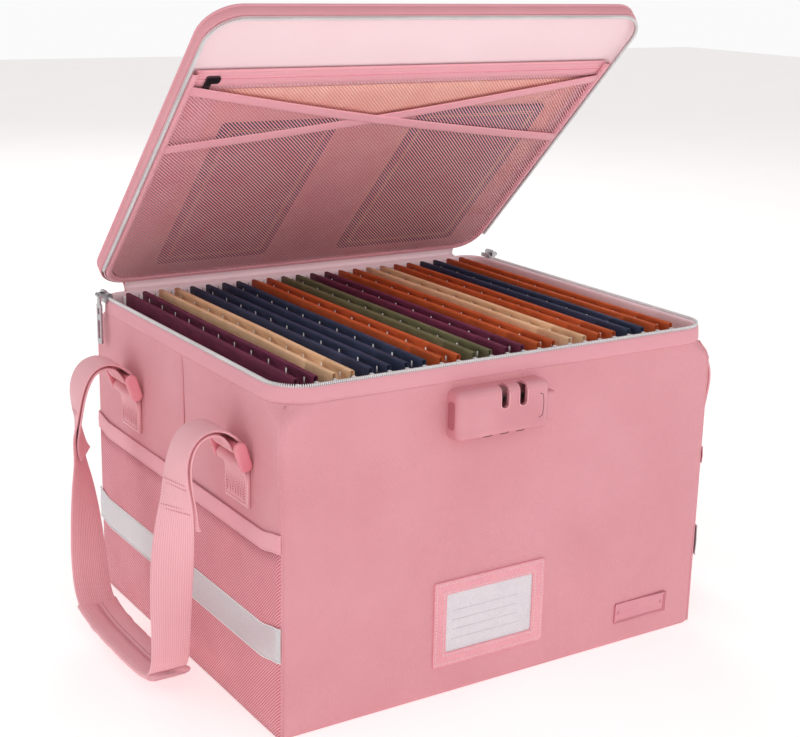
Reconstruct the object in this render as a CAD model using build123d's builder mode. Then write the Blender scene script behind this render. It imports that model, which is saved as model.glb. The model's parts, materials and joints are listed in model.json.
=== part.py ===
"""Fireproof document box: a board-stiffened fabric file box with a zipped lid.

Frame: origin at the centre of the base, on the surface it stands on. +X runs along
the front, +Y from front to back, +Z up. The lid is drawn on its own plane, hinged
along the back rim and held open. All sizes are in millimetres.
"""
import os
from math import cos, radians, sin

from build123d import *

os.makedirs("parts", exist_ok=True)

# ---------------------------------------------------------------- driving sizes
length = 381.0          # along the front
depth = 320.0           # front to back
rim_height = 254.0      # the body's top edge, where the two zipper chains meet
lid_height = 13.0       # from the zipper to the lid's top
corner_r = 27.0         # upright corners of the rim and the lid
body_r = 8.0            # upright corners below the rim band, where the panels are seamed
cover_t = 1.2           # outer coated fabric
board_t = 4.0           # insulating board
lining_t = 0.8          # inner fabric
lid_open = 45.0         # degrees from closed
hinge_gap = 1.0         # the fold line stands this far behind the back wall
chain_gap = 0.6         # half the space between the closed chains
chain_h = 2.2           # height of one chain
chain_outer = 0.4       # inset of the chain's outer side
chain_inner = 2.4       # inset of the chain's inner side
tape_t = 0.8            # zipper tape
band_h = 10.0           # the band round the body's rim
zip_end_y = 136.0       # both chains end here, just short of the hinge corners
lining_r = 15.0         # the lining turns the inside corners more tightly than the cover
fold_y = -8.0           # crease down the middle of each side wall
webbing_w = 30.0        # handle webbing
webbing_t = 2.0

# ---------------------------------------------------------------- worked-out sizes
half_l = length / 2
half_d = depth / 2
wall_t = cover_t + board_t + lining_t
board_x = half_l - body_r              # half the length of the front and back boards
board_y = half_d - body_r              # half the length of the side boards together
band_bottom = rim_height - 3 - band_h
board_top = band_bottom - 0.5
chain_bottom = rim_height - chain_gap - chain_h
hinge_y = half_d + hinge_gap
tilt = radians(lid_open)
lid_plane = Plane(
    origin=(0, hinge_y, rim_height), x_dir=(1, 0, 0), z_dir=(0, sin(tilt), cos(tilt))
)
lid_centre = (0, -hinge_y)             # the lid's middle on its own plane


def outline(inset, radius=corner_r, mode=Mode.ADD):
    """The box's rounded outline, drawn in by an inset."""
    RectangleRounded(length - 2 * inset, depth - 2 * inset, radius - inset, mode=mode)


def ring(outer, inner, radius=corner_r):
    """A closed ring between two insets of the outline."""
    outline(outer, radius)
    outline(inner, radius, mode=Mode.SUBTRACT)


def open_back(middle_y=0.0):
    """Take away the back run, where the lid is hinged and not zipped."""
    with Locations((0, middle_y + half_d)):
        Rectangle(2 * length, 2 * (half_d - zip_end_y), mode=Mode.SUBTRACT)


def panel_wedge(side):
    """Keep one wall of a ring: its seams run up the middle of the corners."""
    corner = body_r
    x, y = half_l - corner, half_d - corner
    reach = 3 * corner
    points = {
        "front": [(-x, -y), (-x - reach, -y - reach), (x + reach, -y - reach), (x, -y)],
        "back": [(-x, y), (-x - reach, y + reach), (x + reach, y + reach), (x, y)],
        "left": [(-x, y), (-x - reach, y + reach), (-x - reach, -y - reach), (-x, -y)],
        "right": [(x, y), (x + reach, y + reach), (x + reach, -y - reach), (x, -y)],
    }[side]
    Polygon(*points, align=None, mode=Mode.INTERSECT)


# ---------------------------------------------------------------- boards
with BuildPart() as base_cover:
    with BuildSketch():
        outline(cover_t, body_r)
    extrude(amount=cover_t)
base_cover.part.label = "base_cover"
export_step(base_cover.part, "parts/base_cover.step")

floor_top = cover_t + board_t
with BuildPart() as base_board:
    with BuildSketch(Plane.XY.offset(cover_t)):
        outline(cover_t, body_r)
    extrude(amount=board_t)
base_board.part.label = "base_board"
export_step(base_board.part, "parts/base_board.step")

wall_middle = cover_t + board_t / 2
lock_x = -20.0                         # middle of the lock's housing
lock_z = 217.0
screw_xs = (-50.0, 9.0)
screw_zs = (lock_z, 212.0)
screw_hole_r = 2.2

with BuildPart() as front_board:
    with BuildSketch(Plane.XY.offset(floor_top)):
        with Locations((0, -half_d + wall_middle)):
            Rectangle(2 * board_x, board_t)
    extrude(amount=board_top - floor_top)
    for x, z in zip(screw_xs, screw_zs):
        with Locations(Location((x, -half_d, z), (90, 0, 0))):
            Cylinder(screw_hole_r, 4 * wall_t, mode=Mode.SUBTRACT)
front_board.part.label = "front_board"
export_step(front_board.part, "parts/front_board.step")

with BuildPart() as back_board:
    with BuildSketch(Plane.XY.offset(floor_top)):
        with Locations((0, half_d - wall_middle)):
            Rectangle(2 * board_x, board_t)
    extrude(amount=board_top - floor_top)
back_board.part.label = "back_board"
export_step(back_board.part, "parts/back_board.step")

# Each side wall has two boards, with a gap between them for the crease.
crease_gap = 4.0
with BuildPart() as side_boards:
    with BuildSketch(Plane.XY.offset(floor_top)):
        for x in (-half_l + wall_middle, half_l - wall_middle):
            with Locations((x, 0)):
                Rectangle(board_t, 2 * board_y)
        with Locations((0, fold_y)):
            Rectangle(2 * length, crease_gap, mode=Mode.SUBTRACT)
    extrude(amount=board_top - floor_top)
side_boards.part.label = "side_boards"
export_step(side_boards.part, "parts/side_boards.step")

# ---------------------------------------------------------------- outer covers
for side in ("front", "back", "left", "right"):
    with BuildPart() as cover:
        with BuildSketch():
            ring(0, cover_t, body_r)
            panel_wedge(side)
        extrude(amount=band_bottom)
        if side == "front":
            for x, z in zip(screw_xs, screw_zs):
                with Locations(Location((x, -half_d, z), (90, 0, 0))):
                    Cylinder(screw_hole_r, 4 * wall_t, mode=Mode.SUBTRACT)
    cover.part.label = f"{side}_cover"
    export_step(cover.part, f"parts/{side}_cover.step")

with BuildPart() as rim_band:
    with BuildSketch(Plane.XY.offset(band_bottom)):
        ring(0, cover_t)
    extrude(amount=band_h)
rim_band.part.label = "rim_band"
export_step(rim_band.part, "parts/rim_band.step")

# ---------------------------------------------------------------- lining and rim zipper
hem_top = chain_bottom + 0.6


def lining_outline(inset, mode=Mode.ADD):
    """The lining's outline, with its own corner radius."""
    RectangleRounded(
        length - 2 * inset, depth - 2 * inset, lining_r + wall_t - inset, mode=mode
    )


with BuildPart() as inner_lining:
    with BuildSketch(Plane.XY.offset(floor_top)):
        lining_outline(wall_t - lining_t)
    extrude(amount=lining_t)
    with BuildSketch(Plane.XY.offset(floor_top)):
        lining_outline(wall_t - lining_t)
        lining_outline(wall_t, mode=Mode.SUBTRACT)
    extrude(amount=hem_top - floor_top)
    with BuildSketch(Plane.XY.offset(hem_top - lining_t)):
        outline(cover_t + tape_t + 0.6)
        lining_outline(wall_t, mode=Mode.SUBTRACT)
    extrude(amount=lining_t)
    for x, z in zip(screw_xs, screw_zs):
        with Locations(Location((x, -half_d, z), (90, 0, 0))):
            Cylinder(screw_hole_r, 4 * wall_t, mode=Mode.SUBTRACT)
inner_lining.part.label = "inner_lining"
export_step(inner_lining.part, "parts/inner_lining.step")

with BuildPart() as rim_zipper_tape:
    with BuildSketch(Plane.XY.offset(board_top)):
        ring(cover_t, cover_t + tape_t)
        open_back()
    extrude(amount=chain_bottom - board_top)
rim_zipper_tape.part.label = "rim_zipper_tape"
export_step(rim_zipper_tape.part, "parts/rim_zipper_tape.step")

with BuildPart() as rim_zipper_teeth:
    with BuildSketch(Plane.XY.offset(chain_bottom)):
        ring(chain_outer, chain_inner)
        open_back()
    extrude(amount=chain_h)
rim_zipper_teeth.part.label = "rim_zipper_teeth"
export_step(rim_zipper_teeth.part, "parts/rim_zipper_teeth.step")

hinge_half = half_l - corner_r - 3
hinge_t = 0.7
hinge_low, hinge_top = band_bottom - 2, rim_height - 0.5
with BuildPart() as hinge_strip:
    with BuildSketch(Plane.XY.offset(hinge_low)):
        with Locations((0, half_d + hinge_t / 2 + 0.1)):
            Rectangle(2 * hinge_half, hinge_t)
    extrude(amount=hinge_top - hinge_low)
hinge_strip.part.label = "hinge_strip"
export_step(hinge_strip.part, "parts/hinge_strip.step")

# ---------------------------------------------------------------- file rails
# Each rail is a strip on the wall with a shelf and an upright lip, which the rods hook over.
rail_half = half_l - wall_t - lining_r
rail_web = 1.5
rail_shelf = 5.0
rail_top = 240.0
rail_h = 16.0
wall_y = half_d - wall_t                # the lining's inner face
lip_y = wall_y - rail_shelf + rail_web / 2
with BuildPart() as file_rails:
    for turn in (1, -1):
        with BuildSketch(Plane.YZ.offset(-rail_half)):
            with Locations((turn * (wall_y - rail_web / 2), rail_top - rail_h / 2)):
                Rectangle(rail_web, rail_h)
            with Locations((turn * (wall_y - rail_shelf / 2), rail_top - rail_h + rail_web / 2)):
                Rectangle(rail_shelf, rail_web)
            with Locations((turn * lip_y, rail_top - rail_h / 2)):
                Rectangle(rail_web, rail_h)
        extrude(amount=2 * rail_half)
file_rails.part.label = "file_rails"
export_step(file_rails.part, "parts/file_rails.step")

# ---------------------------------------------------------------- outside trim on the sides
pocket_gap = 0.3
pocket_t = 0.8
pocket_top = 134.0
binding_top = 147.0
strip_low, strip_high = 55.0, 80.0
trim_t = 0.6


def side_panels(low, high, near, far):
    """Two panels, left and right, that stand off the side covers between two heights."""
    panels = []
    for side in ("left", "right"):
        with BuildPart() as panel:
            with BuildSketch(Plane.XY.offset(low)):
                ring(-far, -near, body_r)
                panel_wedge(side)
            extrude(amount=high - low)
        panels.append(panel.part)
    return panels


with BuildPart() as pocket_mesh_panels:
    add(side_panels(1.0, pocket_top, pocket_gap, pocket_gap + pocket_t))
pocket_mesh_panels.part.label = "pocket_mesh_panels"
export_step(pocket_mesh_panels.part, "parts/pocket_mesh_panels.step")

with BuildPart() as pocket_bindings:
    add(side_panels(pocket_top, binding_top, pocket_gap, pocket_gap + pocket_t + trim_t))
pocket_bindings.part.label = "pocket_bindings"
export_step(pocket_bindings.part, "parts/pocket_bindings.step")

strip_near = pocket_gap + pocket_t
with BuildPart() as reflective_strips:
    add(side_panels(strip_low, strip_high, strip_near, strip_near + trim_t))
reflective_strips.part.label = "reflective_strips"
export_step(reflective_strips.part, "parts/reflective_strips.step")

# ---------------------------------------------------------------- handles
ring_bar_r = 2.6
loop_inner_r = 3.0
loop_outer_r = 4.4
ring_span = 13.0                       # between a ring's two bars
ring_lean = radians(18)                # the ring leans out at rest
tab_w = 34.0
tab_low, tab_high = 157.0, 190.0
tab_t = 2.4
lower_bar_x = -half_l - 5.8
lower_bar_z = tab_high
upper_bar_x = lower_bar_x - ring_span * sin(ring_lean)
upper_bar_z = lower_bar_z + ring_span * cos(ring_lean)
tab_pitch = 186.0
tab_ys = (fold_y - tab_pitch / 2, fold_y + tab_pitch / 2)
cheek_t = 4.0                          # thickness of a ring's end cheeks
cheek_r = 4.8
bar_l = tab_w + 1.0                    # clear length between the cheeks

with BuildPart() as anchor_tabs:
    for y in tab_ys:
        with BuildSketch(Plane.XZ.offset(-y - tab_w / 2)):
            with Locations((-half_l - tab_t / 2, (tab_low + tab_high) / 2)):
                Rectangle(tab_t, tab_high - tab_low)
            with Locations((lower_bar_x, lower_bar_z)):
                Circle(loop_outer_r)
                Circle(loop_inner_r, mode=Mode.SUBTRACT)
            with Locations((-half_l - 0.1, lower_bar_z)):
                Rectangle(0.2, 2 * loop_outer_r, mode=Mode.SUBTRACT)
        extrude(amount=tab_w)
    mirror(about=Plane.YZ)
anchor_tabs.part.label = "anchor_tabs"
export_step(anchor_tabs.part, "parts/anchor_tabs.step")

# The strap leaves the ring outwards, arches over, twists a quarter turn on its way
# down and runs level along the bottom of the loop.
leg_x = -238.0
arch_bottom = 172.0
arch_r = 14.0
twist_bottom = 96.0
grip_z = 22.0
grip_r = 30.0
leg_inset = 17.0                       # the legs stand this much closer than the rings
steps = 6
band_half = webbing_w / 2


def strap_arch(y):
    """One end of the strap: its loop round the ring's upper bar and the arch over it."""
    loop_mid = (loop_inner_r + loop_outer_r) / 2
    with BuildPart() as arch:
        with BuildSketch(Plane.XZ.offset(-y - band_half)):
            with BuildLine():
                top = FilletPolyline(
                    (upper_bar_x, upper_bar_z + loop_mid),
                    (leg_x + 20, upper_bar_z + 13),
                    (leg_x, upper_bar_z + 4),
                    (leg_x, arch_bottom),
                    radius=arch_r,
                )
                offset(top, amount=webbing_t / 2, side=Side.BOTH)
            make_face()
            with Locations((upper_bar_x, upper_bar_z)):
                Circle(loop_outer_r)
                Circle(loop_inner_r, mode=Mode.SUBTRACT)
        extrude(amount=webbing_w)
    return arch.part


def strap_twist(y, foot_y, turn):
    """A leg of the strap, turned a quarter turn between the arch and the bottom loop."""
    with BuildPart() as leg:
        for step in range(steps + 1):
            part = step / steps
            height = arch_bottom + (twist_bottom - arch_bottom) * part
            where = Plane(
                origin=(leg_x, y + (foot_y - y) * part, height),
                x_dir=(sin(radians(90 * part)) * turn, cos(radians(90 * part)), 0),
                z_dir=(0, 0, 1),
            )
            with BuildSketch(where):
                Rectangle(webbing_w, webbing_t)
        loft(ruled=True)
    return leg.part


foot_ys = (tab_ys[0] + leg_inset, tab_ys[1] - leg_inset)
with BuildPart() as strap_bottom:
    with BuildSketch(Plane.YZ.offset(leg_x - band_half)):
        with BuildLine():
            run = FilletPolyline(
                (foot_ys[0], twist_bottom),
                (foot_ys[0], grip_z),
                (foot_ys[1], grip_z),
                (foot_ys[1], twist_bottom),
                radius=grip_r,
            )
            offset(run, amount=webbing_t / 2, side=Side.BOTH)
        make_face()
    extrude(amount=webbing_w)

strap_ends = []
for y, foot_y, turn in zip(tab_ys, foot_ys, (-1, 1)):
    strap_ends += [strap_twist(y, foot_y, turn), strap_arch(y)]

strap = strap_bottom.part
for end in strap_ends:
    strap = strap + end

with BuildPart() as left_handle:
    add(strap)
left_handle.part.label = "left_handle"
export_step(left_handle.part, "parts/left_handle.step")

with BuildPart() as right_handle:
    add(mirror(left_handle.part, about=Plane.YZ, mode=Mode.PRIVATE))
right_handle.part.label = "right_handle"
export_step(right_handle.part, "parts/right_handle.step")

with BuildPart() as left_rings:
    for y in tab_ys:
        for end in (-1, 1):
            face = y + end * bar_l / 2 - (cheek_t if end < 0 else 0)
            with BuildSketch(Plane.XZ.offset(-face - cheek_t)):
                with Locations((lower_bar_x, lower_bar_z), (upper_bar_x, upper_bar_z)):
                    Circle(cheek_r)
                make_hull()
            extrude(amount=cheek_t)
        with BuildSketch(Plane.XZ.offset(-y - bar_l / 2)):
            with Locations((lower_bar_x, lower_bar_z), (upper_bar_x, upper_bar_z)):
                Circle(ring_bar_r)
        extrude(amount=bar_l)
left_rings.part.label = "left_rings"
export_step(left_rings.part, "parts/left_rings.step")

with BuildPart() as right_rings:
    add(mirror(left_rings.part, about=Plane.YZ, mode=Mode.PRIVATE))
right_rings.part.label = "right_rings"
export_step(right_rings.part, "parts/right_rings.step")

# ---------------------------------------------------------------- label holder and name plate
label_x, label_z = -16.0, 56.5
frame_w, frame_h = 100.0, 67.0
window_w, window_h = 78.0, 46.0
card_w, card_h = 88.0, 56.0
frame_t = 2.0
front = Plane.XZ.offset(half_d)        # its normal points forwards, out of the front

with BuildPart() as label_frame:
    with BuildSketch(front):
        with Locations((label_x, label_z)):
            RectangleRounded(frame_w, frame_h, 1.5)
            Rectangle(window_w, window_h, mode=Mode.SUBTRACT)
    extrude(amount=frame_t)
    with BuildSketch(front):
        with Locations((label_x, label_z)):
            Rectangle(card_w + 1, card_h + 1)
    extrude(amount=1.2, mode=Mode.SUBTRACT)
label_frame.part.label = "label_frame"
export_step(label_frame.part, "parts/label_frame.step")

with BuildPart() as label_card:
    with BuildSketch(front.offset(0.1)):
        with Locations((label_x, label_z)):
            Rectangle(card_w, card_h)
    extrude(amount=0.4)
label_card.part.label = "label_card"
export_step(label_card.part, "parts/label_card.step")

with BuildPart() as label_film:
    with BuildSketch(front.offset(0.6)):
        with Locations((label_x, label_z)):
            Rectangle(card_w, card_h)
    extrude(amount=0.4)
label_film.part.label = "label_film"
export_step(label_film.part, "parts/label_film.step")

plate_x, plate_z = 134.0, 26.0
plate_w, plate_h, plate_r = 54.0, 17.5, 2.5
plate_rim = 2.0                        # raised border round the plate's field
name_plate_t = 1.2
with BuildPart() as name_plate:
    with BuildSketch(front):
        with Locations((plate_x, plate_z)):
            RectangleRounded(plate_w, plate_h, plate_r)
    extrude(amount=name_plate_t)
    with BuildSketch(front.offset(name_plate_t)):
        with Locations((plate_x, plate_z)):
            RectangleRounded(plate_w - 2 * plate_rim, plate_h - 2 * plate_rim, plate_r - 0.9)
    extrude(amount=-name_plate_t / 3, mode=Mode.SUBTRACT)
name_plate.part.label = "name_plate"
export_step(name_plate.part, "parts/name_plate.step")

# ---------------------------------------------------------------- combination lock
housing_w, housing_h, housing_d = 80.0, 36.0, 14.5
housing_wall = 1.8
slot_xs = (-20.0, -4.0)
slot_w = 6.4
slot_low = 219.0
wheel_xs = (-29.0, -14.5, 0.0)
wheel_r, wheel_w = 5.2, 7.0
wheel_depth = 6.2                      # wheel axis in front of the wall
wheel_z = 203.5
axle_r = 1.3
boss_r = 3.5
screw_r = 1.9
button_w, button_h, button_d = 9.0, 21.0, 8.0
button_x = lock_x + housing_w / 2 - 2  # where the button's inner end lies at rest
button_depth = 8.0
button_z = 214.5
bar_low, bar_high = 221.5, 225.0
base_t = 1.5
base_w, base_h = 75.0, 31.0
post_t = 1.2                           # the two posts that carry the axle
post_reach = wheel_w / 2 + 0.3 + post_t / 2
play = 0.4

with BuildPart() as lock_housing:
    with BuildSketch(front):
        with Locations((lock_x, lock_z)):
            RectangleRounded(housing_w, housing_h, 5)
    extrude(amount=housing_d)
    fillet(lock_housing.faces().sort_by(Axis.Y)[0].edges(), radius=5)
    with BuildSketch(front):
        with Locations((lock_x, lock_z)):
            RectangleRounded(housing_w - 2 * housing_wall, housing_h - 2 * housing_wall, 4)
    extrude(amount=housing_d - housing_wall - 1, mode=Mode.SUBTRACT)
    with BuildSketch(front.offset(base_t)):
        for x, z in zip(screw_xs, screw_zs):
            with Locations((x, z)):
                Circle(boss_r)
    extrude(until=Until.LAST)
    with BuildSketch(front):
        for x, z in zip(screw_xs, screw_zs):
            with Locations((x, z)):
                Circle(screw_r)
    extrude(amount=housing_d - 4, mode=Mode.SUBTRACT)
    for x in slot_xs:
        with BuildSketch(front.offset(4.5)):
            with Locations((x, slot_low + slot_w / 2)):
                Circle(slot_w / 2)
            with Locations((x, slot_low + slot_w / 2 + housing_h / 2)):
                Rectangle(slot_w, housing_h)
        extrude(amount=housing_d, mode=Mode.SUBTRACT)
    for x in wheel_xs:
        with BuildSketch(front.offset(wheel_depth - wheel_r - play)):
            with Locations((x, lock_z - housing_h / 2)):
                Rectangle(wheel_w + 2 * play, 12)
        extrude(amount=2 * (wheel_r + play), mode=Mode.SUBTRACT)
    with BuildSketch(front.offset(button_depth - button_d / 2 - play)):
        with Locations((lock_x + housing_w / 2, button_z)):
            Rectangle(14, button_h + 2 * play)
    extrude(amount=button_d + 2 * play, mode=Mode.SUBTRACT)
lock_housing.part.label = "lock_housing"
export_step(lock_housing.part, "parts/lock_housing.step")

with BuildPart() as lock_base_plate:
    with BuildSketch(front):
        with Locations((lock_x, lock_z)):
            RectangleRounded(base_w, base_h, 3)
        for x, z in zip(screw_xs, screw_zs):
            with Locations((x, z)):
                Circle(screw_r + 0.1, mode=Mode.SUBTRACT)
        for x in wheel_xs:
            with Locations((x, wheel_z)):
                Rectangle(wheel_w + 2 * play, 2 * wheel_r + 2 * play, mode=Mode.SUBTRACT)
    extrude(amount=base_t)
    with BuildSketch(front.offset(base_t)):
        for x in (wheel_xs[0] - post_reach, wheel_xs[-1] + post_reach):
            with Locations((x, wheel_z + 1.8)):
                Rectangle(post_t, 8)
    extrude(amount=8)
    with Locations(Location((lock_x, -half_d - wheel_depth, wheel_z), (0, 90, 0))):
        Cylinder(axle_r, 2 * housing_w, mode=Mode.SUBTRACT)
lock_base_plate.part.label = "lock_base_plate"
export_step(lock_base_plate.part, "parts/lock_base_plate.step")

axle_low = wheel_xs[0] - post_reach - post_t / 2
axle_high = wheel_xs[-1] + post_reach + post_t / 2
with BuildPart() as lock_axle:
    with BuildSketch(Plane.YZ.offset(axle_low)):
        with Locations((-half_d - wheel_depth, wheel_z)):
            Circle(axle_r)
    extrude(amount=axle_high - axle_low)
lock_axle.part.label = "lock_axle"
export_step(lock_axle.part, "parts/lock_axle.step")

grip_flutes = 10
for number, x in enumerate(wheel_xs, start=1):
    with BuildPart() as wheel:
        with BuildSketch(Plane.YZ.offset(x - wheel_w / 2)):
            with Locations((-half_d - wheel_depth, wheel_z)):
                Circle(wheel_r)
                Circle(axle_r + 0.05, mode=Mode.SUBTRACT)
                with PolarLocations(wheel_r + 0.3, grip_flutes):
                    Circle(0.7, mode=Mode.SUBTRACT)
        extrude(amount=wheel_w)
    wheel.part.label = f"lock_wheel_{number}"
    export_step(wheel.part, f"parts/lock_wheel_{number}.step")

with BuildPart() as lock_screws:
    for x, z in zip(screw_xs, screw_zs):
        with BuildSketch(Plane.XZ.offset(wall_y - 2)):
            with Locations((x, z)):
                Circle(4)
        extrude(amount=2)
        with BuildSketch(Plane.XZ.offset(wall_y)):
            with Locations((x, z)):
                Circle(screw_r)
        extrude(amount=wall_t + housing_d - 5)
lock_screws.part.label = "lock_screws"
export_step(lock_screws.part, "parts/lock_screws.step")

with BuildPart() as lock_button:
    with BuildSketch(Plane.YZ.offset(button_x)):
        with Locations((-half_d - button_depth, button_z)):
            RectangleRounded(button_d, button_h, 2)
    extrude(amount=button_w)
    fillet(lock_button.faces().sort_by(Axis.X)[-1].edges(), radius=1)
lock_button.part.label = "lock_button"
export_step(lock_button.part, "parts/lock_button.step")

# The latch bar joins the button and carries a finger across each slot.
latch_left = -28.0
latch_near, latch_far = 4.4, 6.6       # in front of the wall
finger_far = 7.6
finger_w = 2.4
with BuildPart() as lock_latch:
    with BuildSketch(front.offset(latch_near)):
        with Locations(((latch_left + button_x) / 2, (bar_low + bar_high) / 2)):
            Rectangle(button_x - latch_left, bar_high - bar_low)
    extrude(amount=latch_far - latch_near)
    with BuildSketch(front.offset(latch_far)):
        for x in slot_xs:
            with Locations((x - slot_w / 2 + 1.6, (bar_low + bar_high) / 2)):
                Rectangle(finger_w, bar_high - bar_low)
    extrude(amount=finger_far - latch_far)
lock_latch.part.label = "lock_latch"
export_step(lock_latch.part, "parts/lock_latch.step")

spring_l = 10.0
spring_r = 1.3
with BuildPart() as lock_spring:
    spring_start = (
        latch_left - spring_l,
        -half_d - (latch_near + latch_far) / 2,
        (bar_low + bar_high) / 2,
    )
    with BuildLine(Plane(origin=spring_start, z_dir=(1, 0, 0))):
        coil = Helix(pitch=2.2, height=spring_l - 0.8, radius=spring_r)
    with BuildSketch(Plane(origin=coil @ 0, z_dir=coil % 0)):
        Circle(0.3)
    sweep(is_frenet=True)
lock_spring.part.label = "lock_spring"
export_step(lock_spring.part, "parts/lock_spring.step")

# ---------------------------------------------------------------- lid shell
lid_top = lid_height
lid_board_low = lid_top - cover_t - board_t
lid_floor = lid_board_low - lining_t   # the lining's inner face, on the lid plane
lid_tape_low = chain_gap + chain_h

with BuildPart() as lid_cover:
    with BuildSketch(lid_plane.offset(lid_top - cover_t)):
        with Locations(lid_centre):
            outline(0)
    extrude(amount=cover_t)
lid_cover.part.label = "lid_cover"
export_step(lid_cover.part, "parts/lid_cover.step")

with BuildPart() as lid_board:
    with BuildSketch(lid_plane.offset(lid_board_low)):
        with Locations(lid_centre):
            outline(cover_t)
    extrude(amount=board_t)
lid_board.part.label = "lid_board"
export_step(lid_board.part, "parts/lid_board.step")

with BuildPart() as lid_lining:
    with BuildSketch(lid_plane.offset(lid_floor)):
        with Locations(lid_centre):
            outline(cover_t)
    extrude(amount=lining_t)
    with BuildSketch(lid_plane.offset(lid_tape_low)):
        with Locations(lid_centre):
            ring(cover_t + tape_t, cover_t + 2 * tape_t)
    extrude(amount=lid_floor - lid_tape_low)
lid_lining.part.label = "lid_lining"
export_step(lid_lining.part, "parts/lid_lining.step")


with BuildPart() as lid_band:
    with BuildSketch(lid_plane.offset(3)):
        with Locations(lid_centre):
            ring(0, cover_t)
    extrude(amount=lid_top - cover_t - 3)
lid_band.part.label = "lid_band"
export_step(lid_band.part, "parts/lid_band.step")

with BuildPart() as lid_zipper_tape:
    with BuildSketch(lid_plane.offset(lid_tape_low)):
        with Locations(lid_centre):
            ring(cover_t, cover_t + tape_t)
        open_back(lid_centre[1])
    extrude(amount=lid_floor - lid_tape_low)
lid_zipper_tape.part.label = "lid_zipper_tape"
export_step(lid_zipper_tape.part, "parts/lid_zipper_tape.step")

with BuildPart() as lid_zipper_teeth:
    with BuildSketch(lid_plane.offset(chain_gap)):
        with Locations(lid_centre):
            ring(chain_outer, chain_inner)
        open_back(lid_centre[1])
    extrude(amount=chain_h)
lid_zipper_teeth.part.label = "lid_zipper_teeth"
export_step(lid_zipper_teeth.part, "parts/lid_zipper_teeth.step")

# ---------------------------------------------------------------- lid pockets
# Distances across the lid are measured from the hinge line, along the lid.
binding_outer, binding_inner = 4.4, 8.6    # insets of the pockets' binding
pocket_half = half_l - binding_inner
zip_low, zip_high = 250.0, 263.0
back_mesh_z = 5.0
front_mesh_z = 1.2
mesh_t = 0.4
layer_pitch = 0.6                          # the second mesh lies this much above the first
zip_proud = 0.4                            # the zipper strip stands out of the mesh on both sides
left_edge_a, right_edge_a = 244.0, 167.0    # the mouth that slopes down to the right
left_edge_b, right_edge_b = 177.0, 243.0    # the mouth that slopes up to the right
mouth_w = 8.0

with BuildPart() as lid_pocket_mesh:
    with BuildSketch(lid_plane.offset(back_mesh_z)):
        with Locations((0, -zip_low / 2)):
            Rectangle(2 * pocket_half, zip_low)
        with Locations(lid_centre):
            outline(binding_inner, mode=Mode.INTERSECT)
    extrude(amount=mesh_t)
lid_pocket_mesh.part.label = "lid_pocket_mesh"
export_step(lid_pocket_mesh.part, "parts/lid_pocket_mesh.step")

with BuildPart() as lid_pocket_zipper:
    with BuildSketch(lid_plane.offset(back_mesh_z - zip_proud)):
        with Locations((0, -(zip_low + zip_high) / 2)):
            Rectangle(2 * pocket_half, zip_high - zip_low)
    extrude(amount=mesh_t + 2 * zip_proud)
lid_pocket_zipper.part.label = "lid_pocket_zipper"
export_step(lid_pocket_zipper.part, "parts/lid_pocket_zipper.step")

# The pocket's slider is parked at the left end, with its short pull turned towards the hinge.
pocket_slider_x = -168.0
with BuildPart() as lid_pocket_slider:
    slider_top = back_mesh_z - zip_proud - 0.3
    with BuildSketch(lid_plane.offset(slider_top)):
        with Locations((pocket_slider_x, -(zip_low + zip_high) / 2)):
            RectangleRounded(11, 7, 2)
    extrude(amount=-2)
    with BuildSketch(lid_plane.offset(slider_top - 1)):
        with Locations((pocket_slider_x - 3, -(zip_low - 4))):
            RectangleRounded(5, 17, 1.5)
    extrude(amount=-1)
lid_pocket_slider.part.label = "lid_pocket_slider"
export_step(lid_pocket_slider.part, "parts/lid_pocket_slider.step")


def below_mouth(left, right):
    """The mesh of a slanted pocket, from the hinge side up to its mouth."""
    Polygon(
        (-pocket_half, 0), (pocket_half, 0), (pocket_half, -right), (-pocket_half, -left),
        align=None,
    )
    with Locations(lid_centre):
        outline(binding_inner, mode=Mode.INTERSECT)


def mouth_band(left, right):
    """The binding along a slanted mouth."""
    Polygon(
        (-pocket_half, -left), (pocket_half, -right),
        (pocket_half, -right - mouth_w), (-pocket_half, -left - mouth_w), align=None,
    )


mouths = ((left_edge_a, right_edge_a), (left_edge_b, right_edge_b))
with BuildPart() as lid_cross_pockets:
    for layer, (left, right) in enumerate(mouths):
        with BuildSketch(lid_plane.offset(front_mesh_z + layer_pitch * layer)):
            below_mouth(left, right)
        extrude(amount=mesh_t)
lid_cross_pockets.part.label = "lid_cross_pockets"
export_step(lid_cross_pockets.part, "parts/lid_cross_pockets.step")

# The binding closes the pockets along the two ends and the hinge side, and edges both mouths.
with BuildPart() as lid_bindings:
    for layer, (left, right) in enumerate(mouths):
        with BuildSketch(lid_plane.offset(front_mesh_z + layer_pitch * layer)):
            mouth_band(left, right)
        extrude(amount=mesh_t)
    with BuildSketch(lid_plane.offset(front_mesh_z)):
        with Locations(lid_centre):
            ring(binding_outer, binding_inner)
        with Locations((0, -zip_high - half_d)):
            Rectangle(2 * length, depth, mode=Mode.SUBTRACT)
    extrude(amount=lid_floor - front_mesh_z)
lid_bindings.part.label = "lid_bindings"
export_step(lid_bindings.part, "parts/lid_bindings.step")

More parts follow.
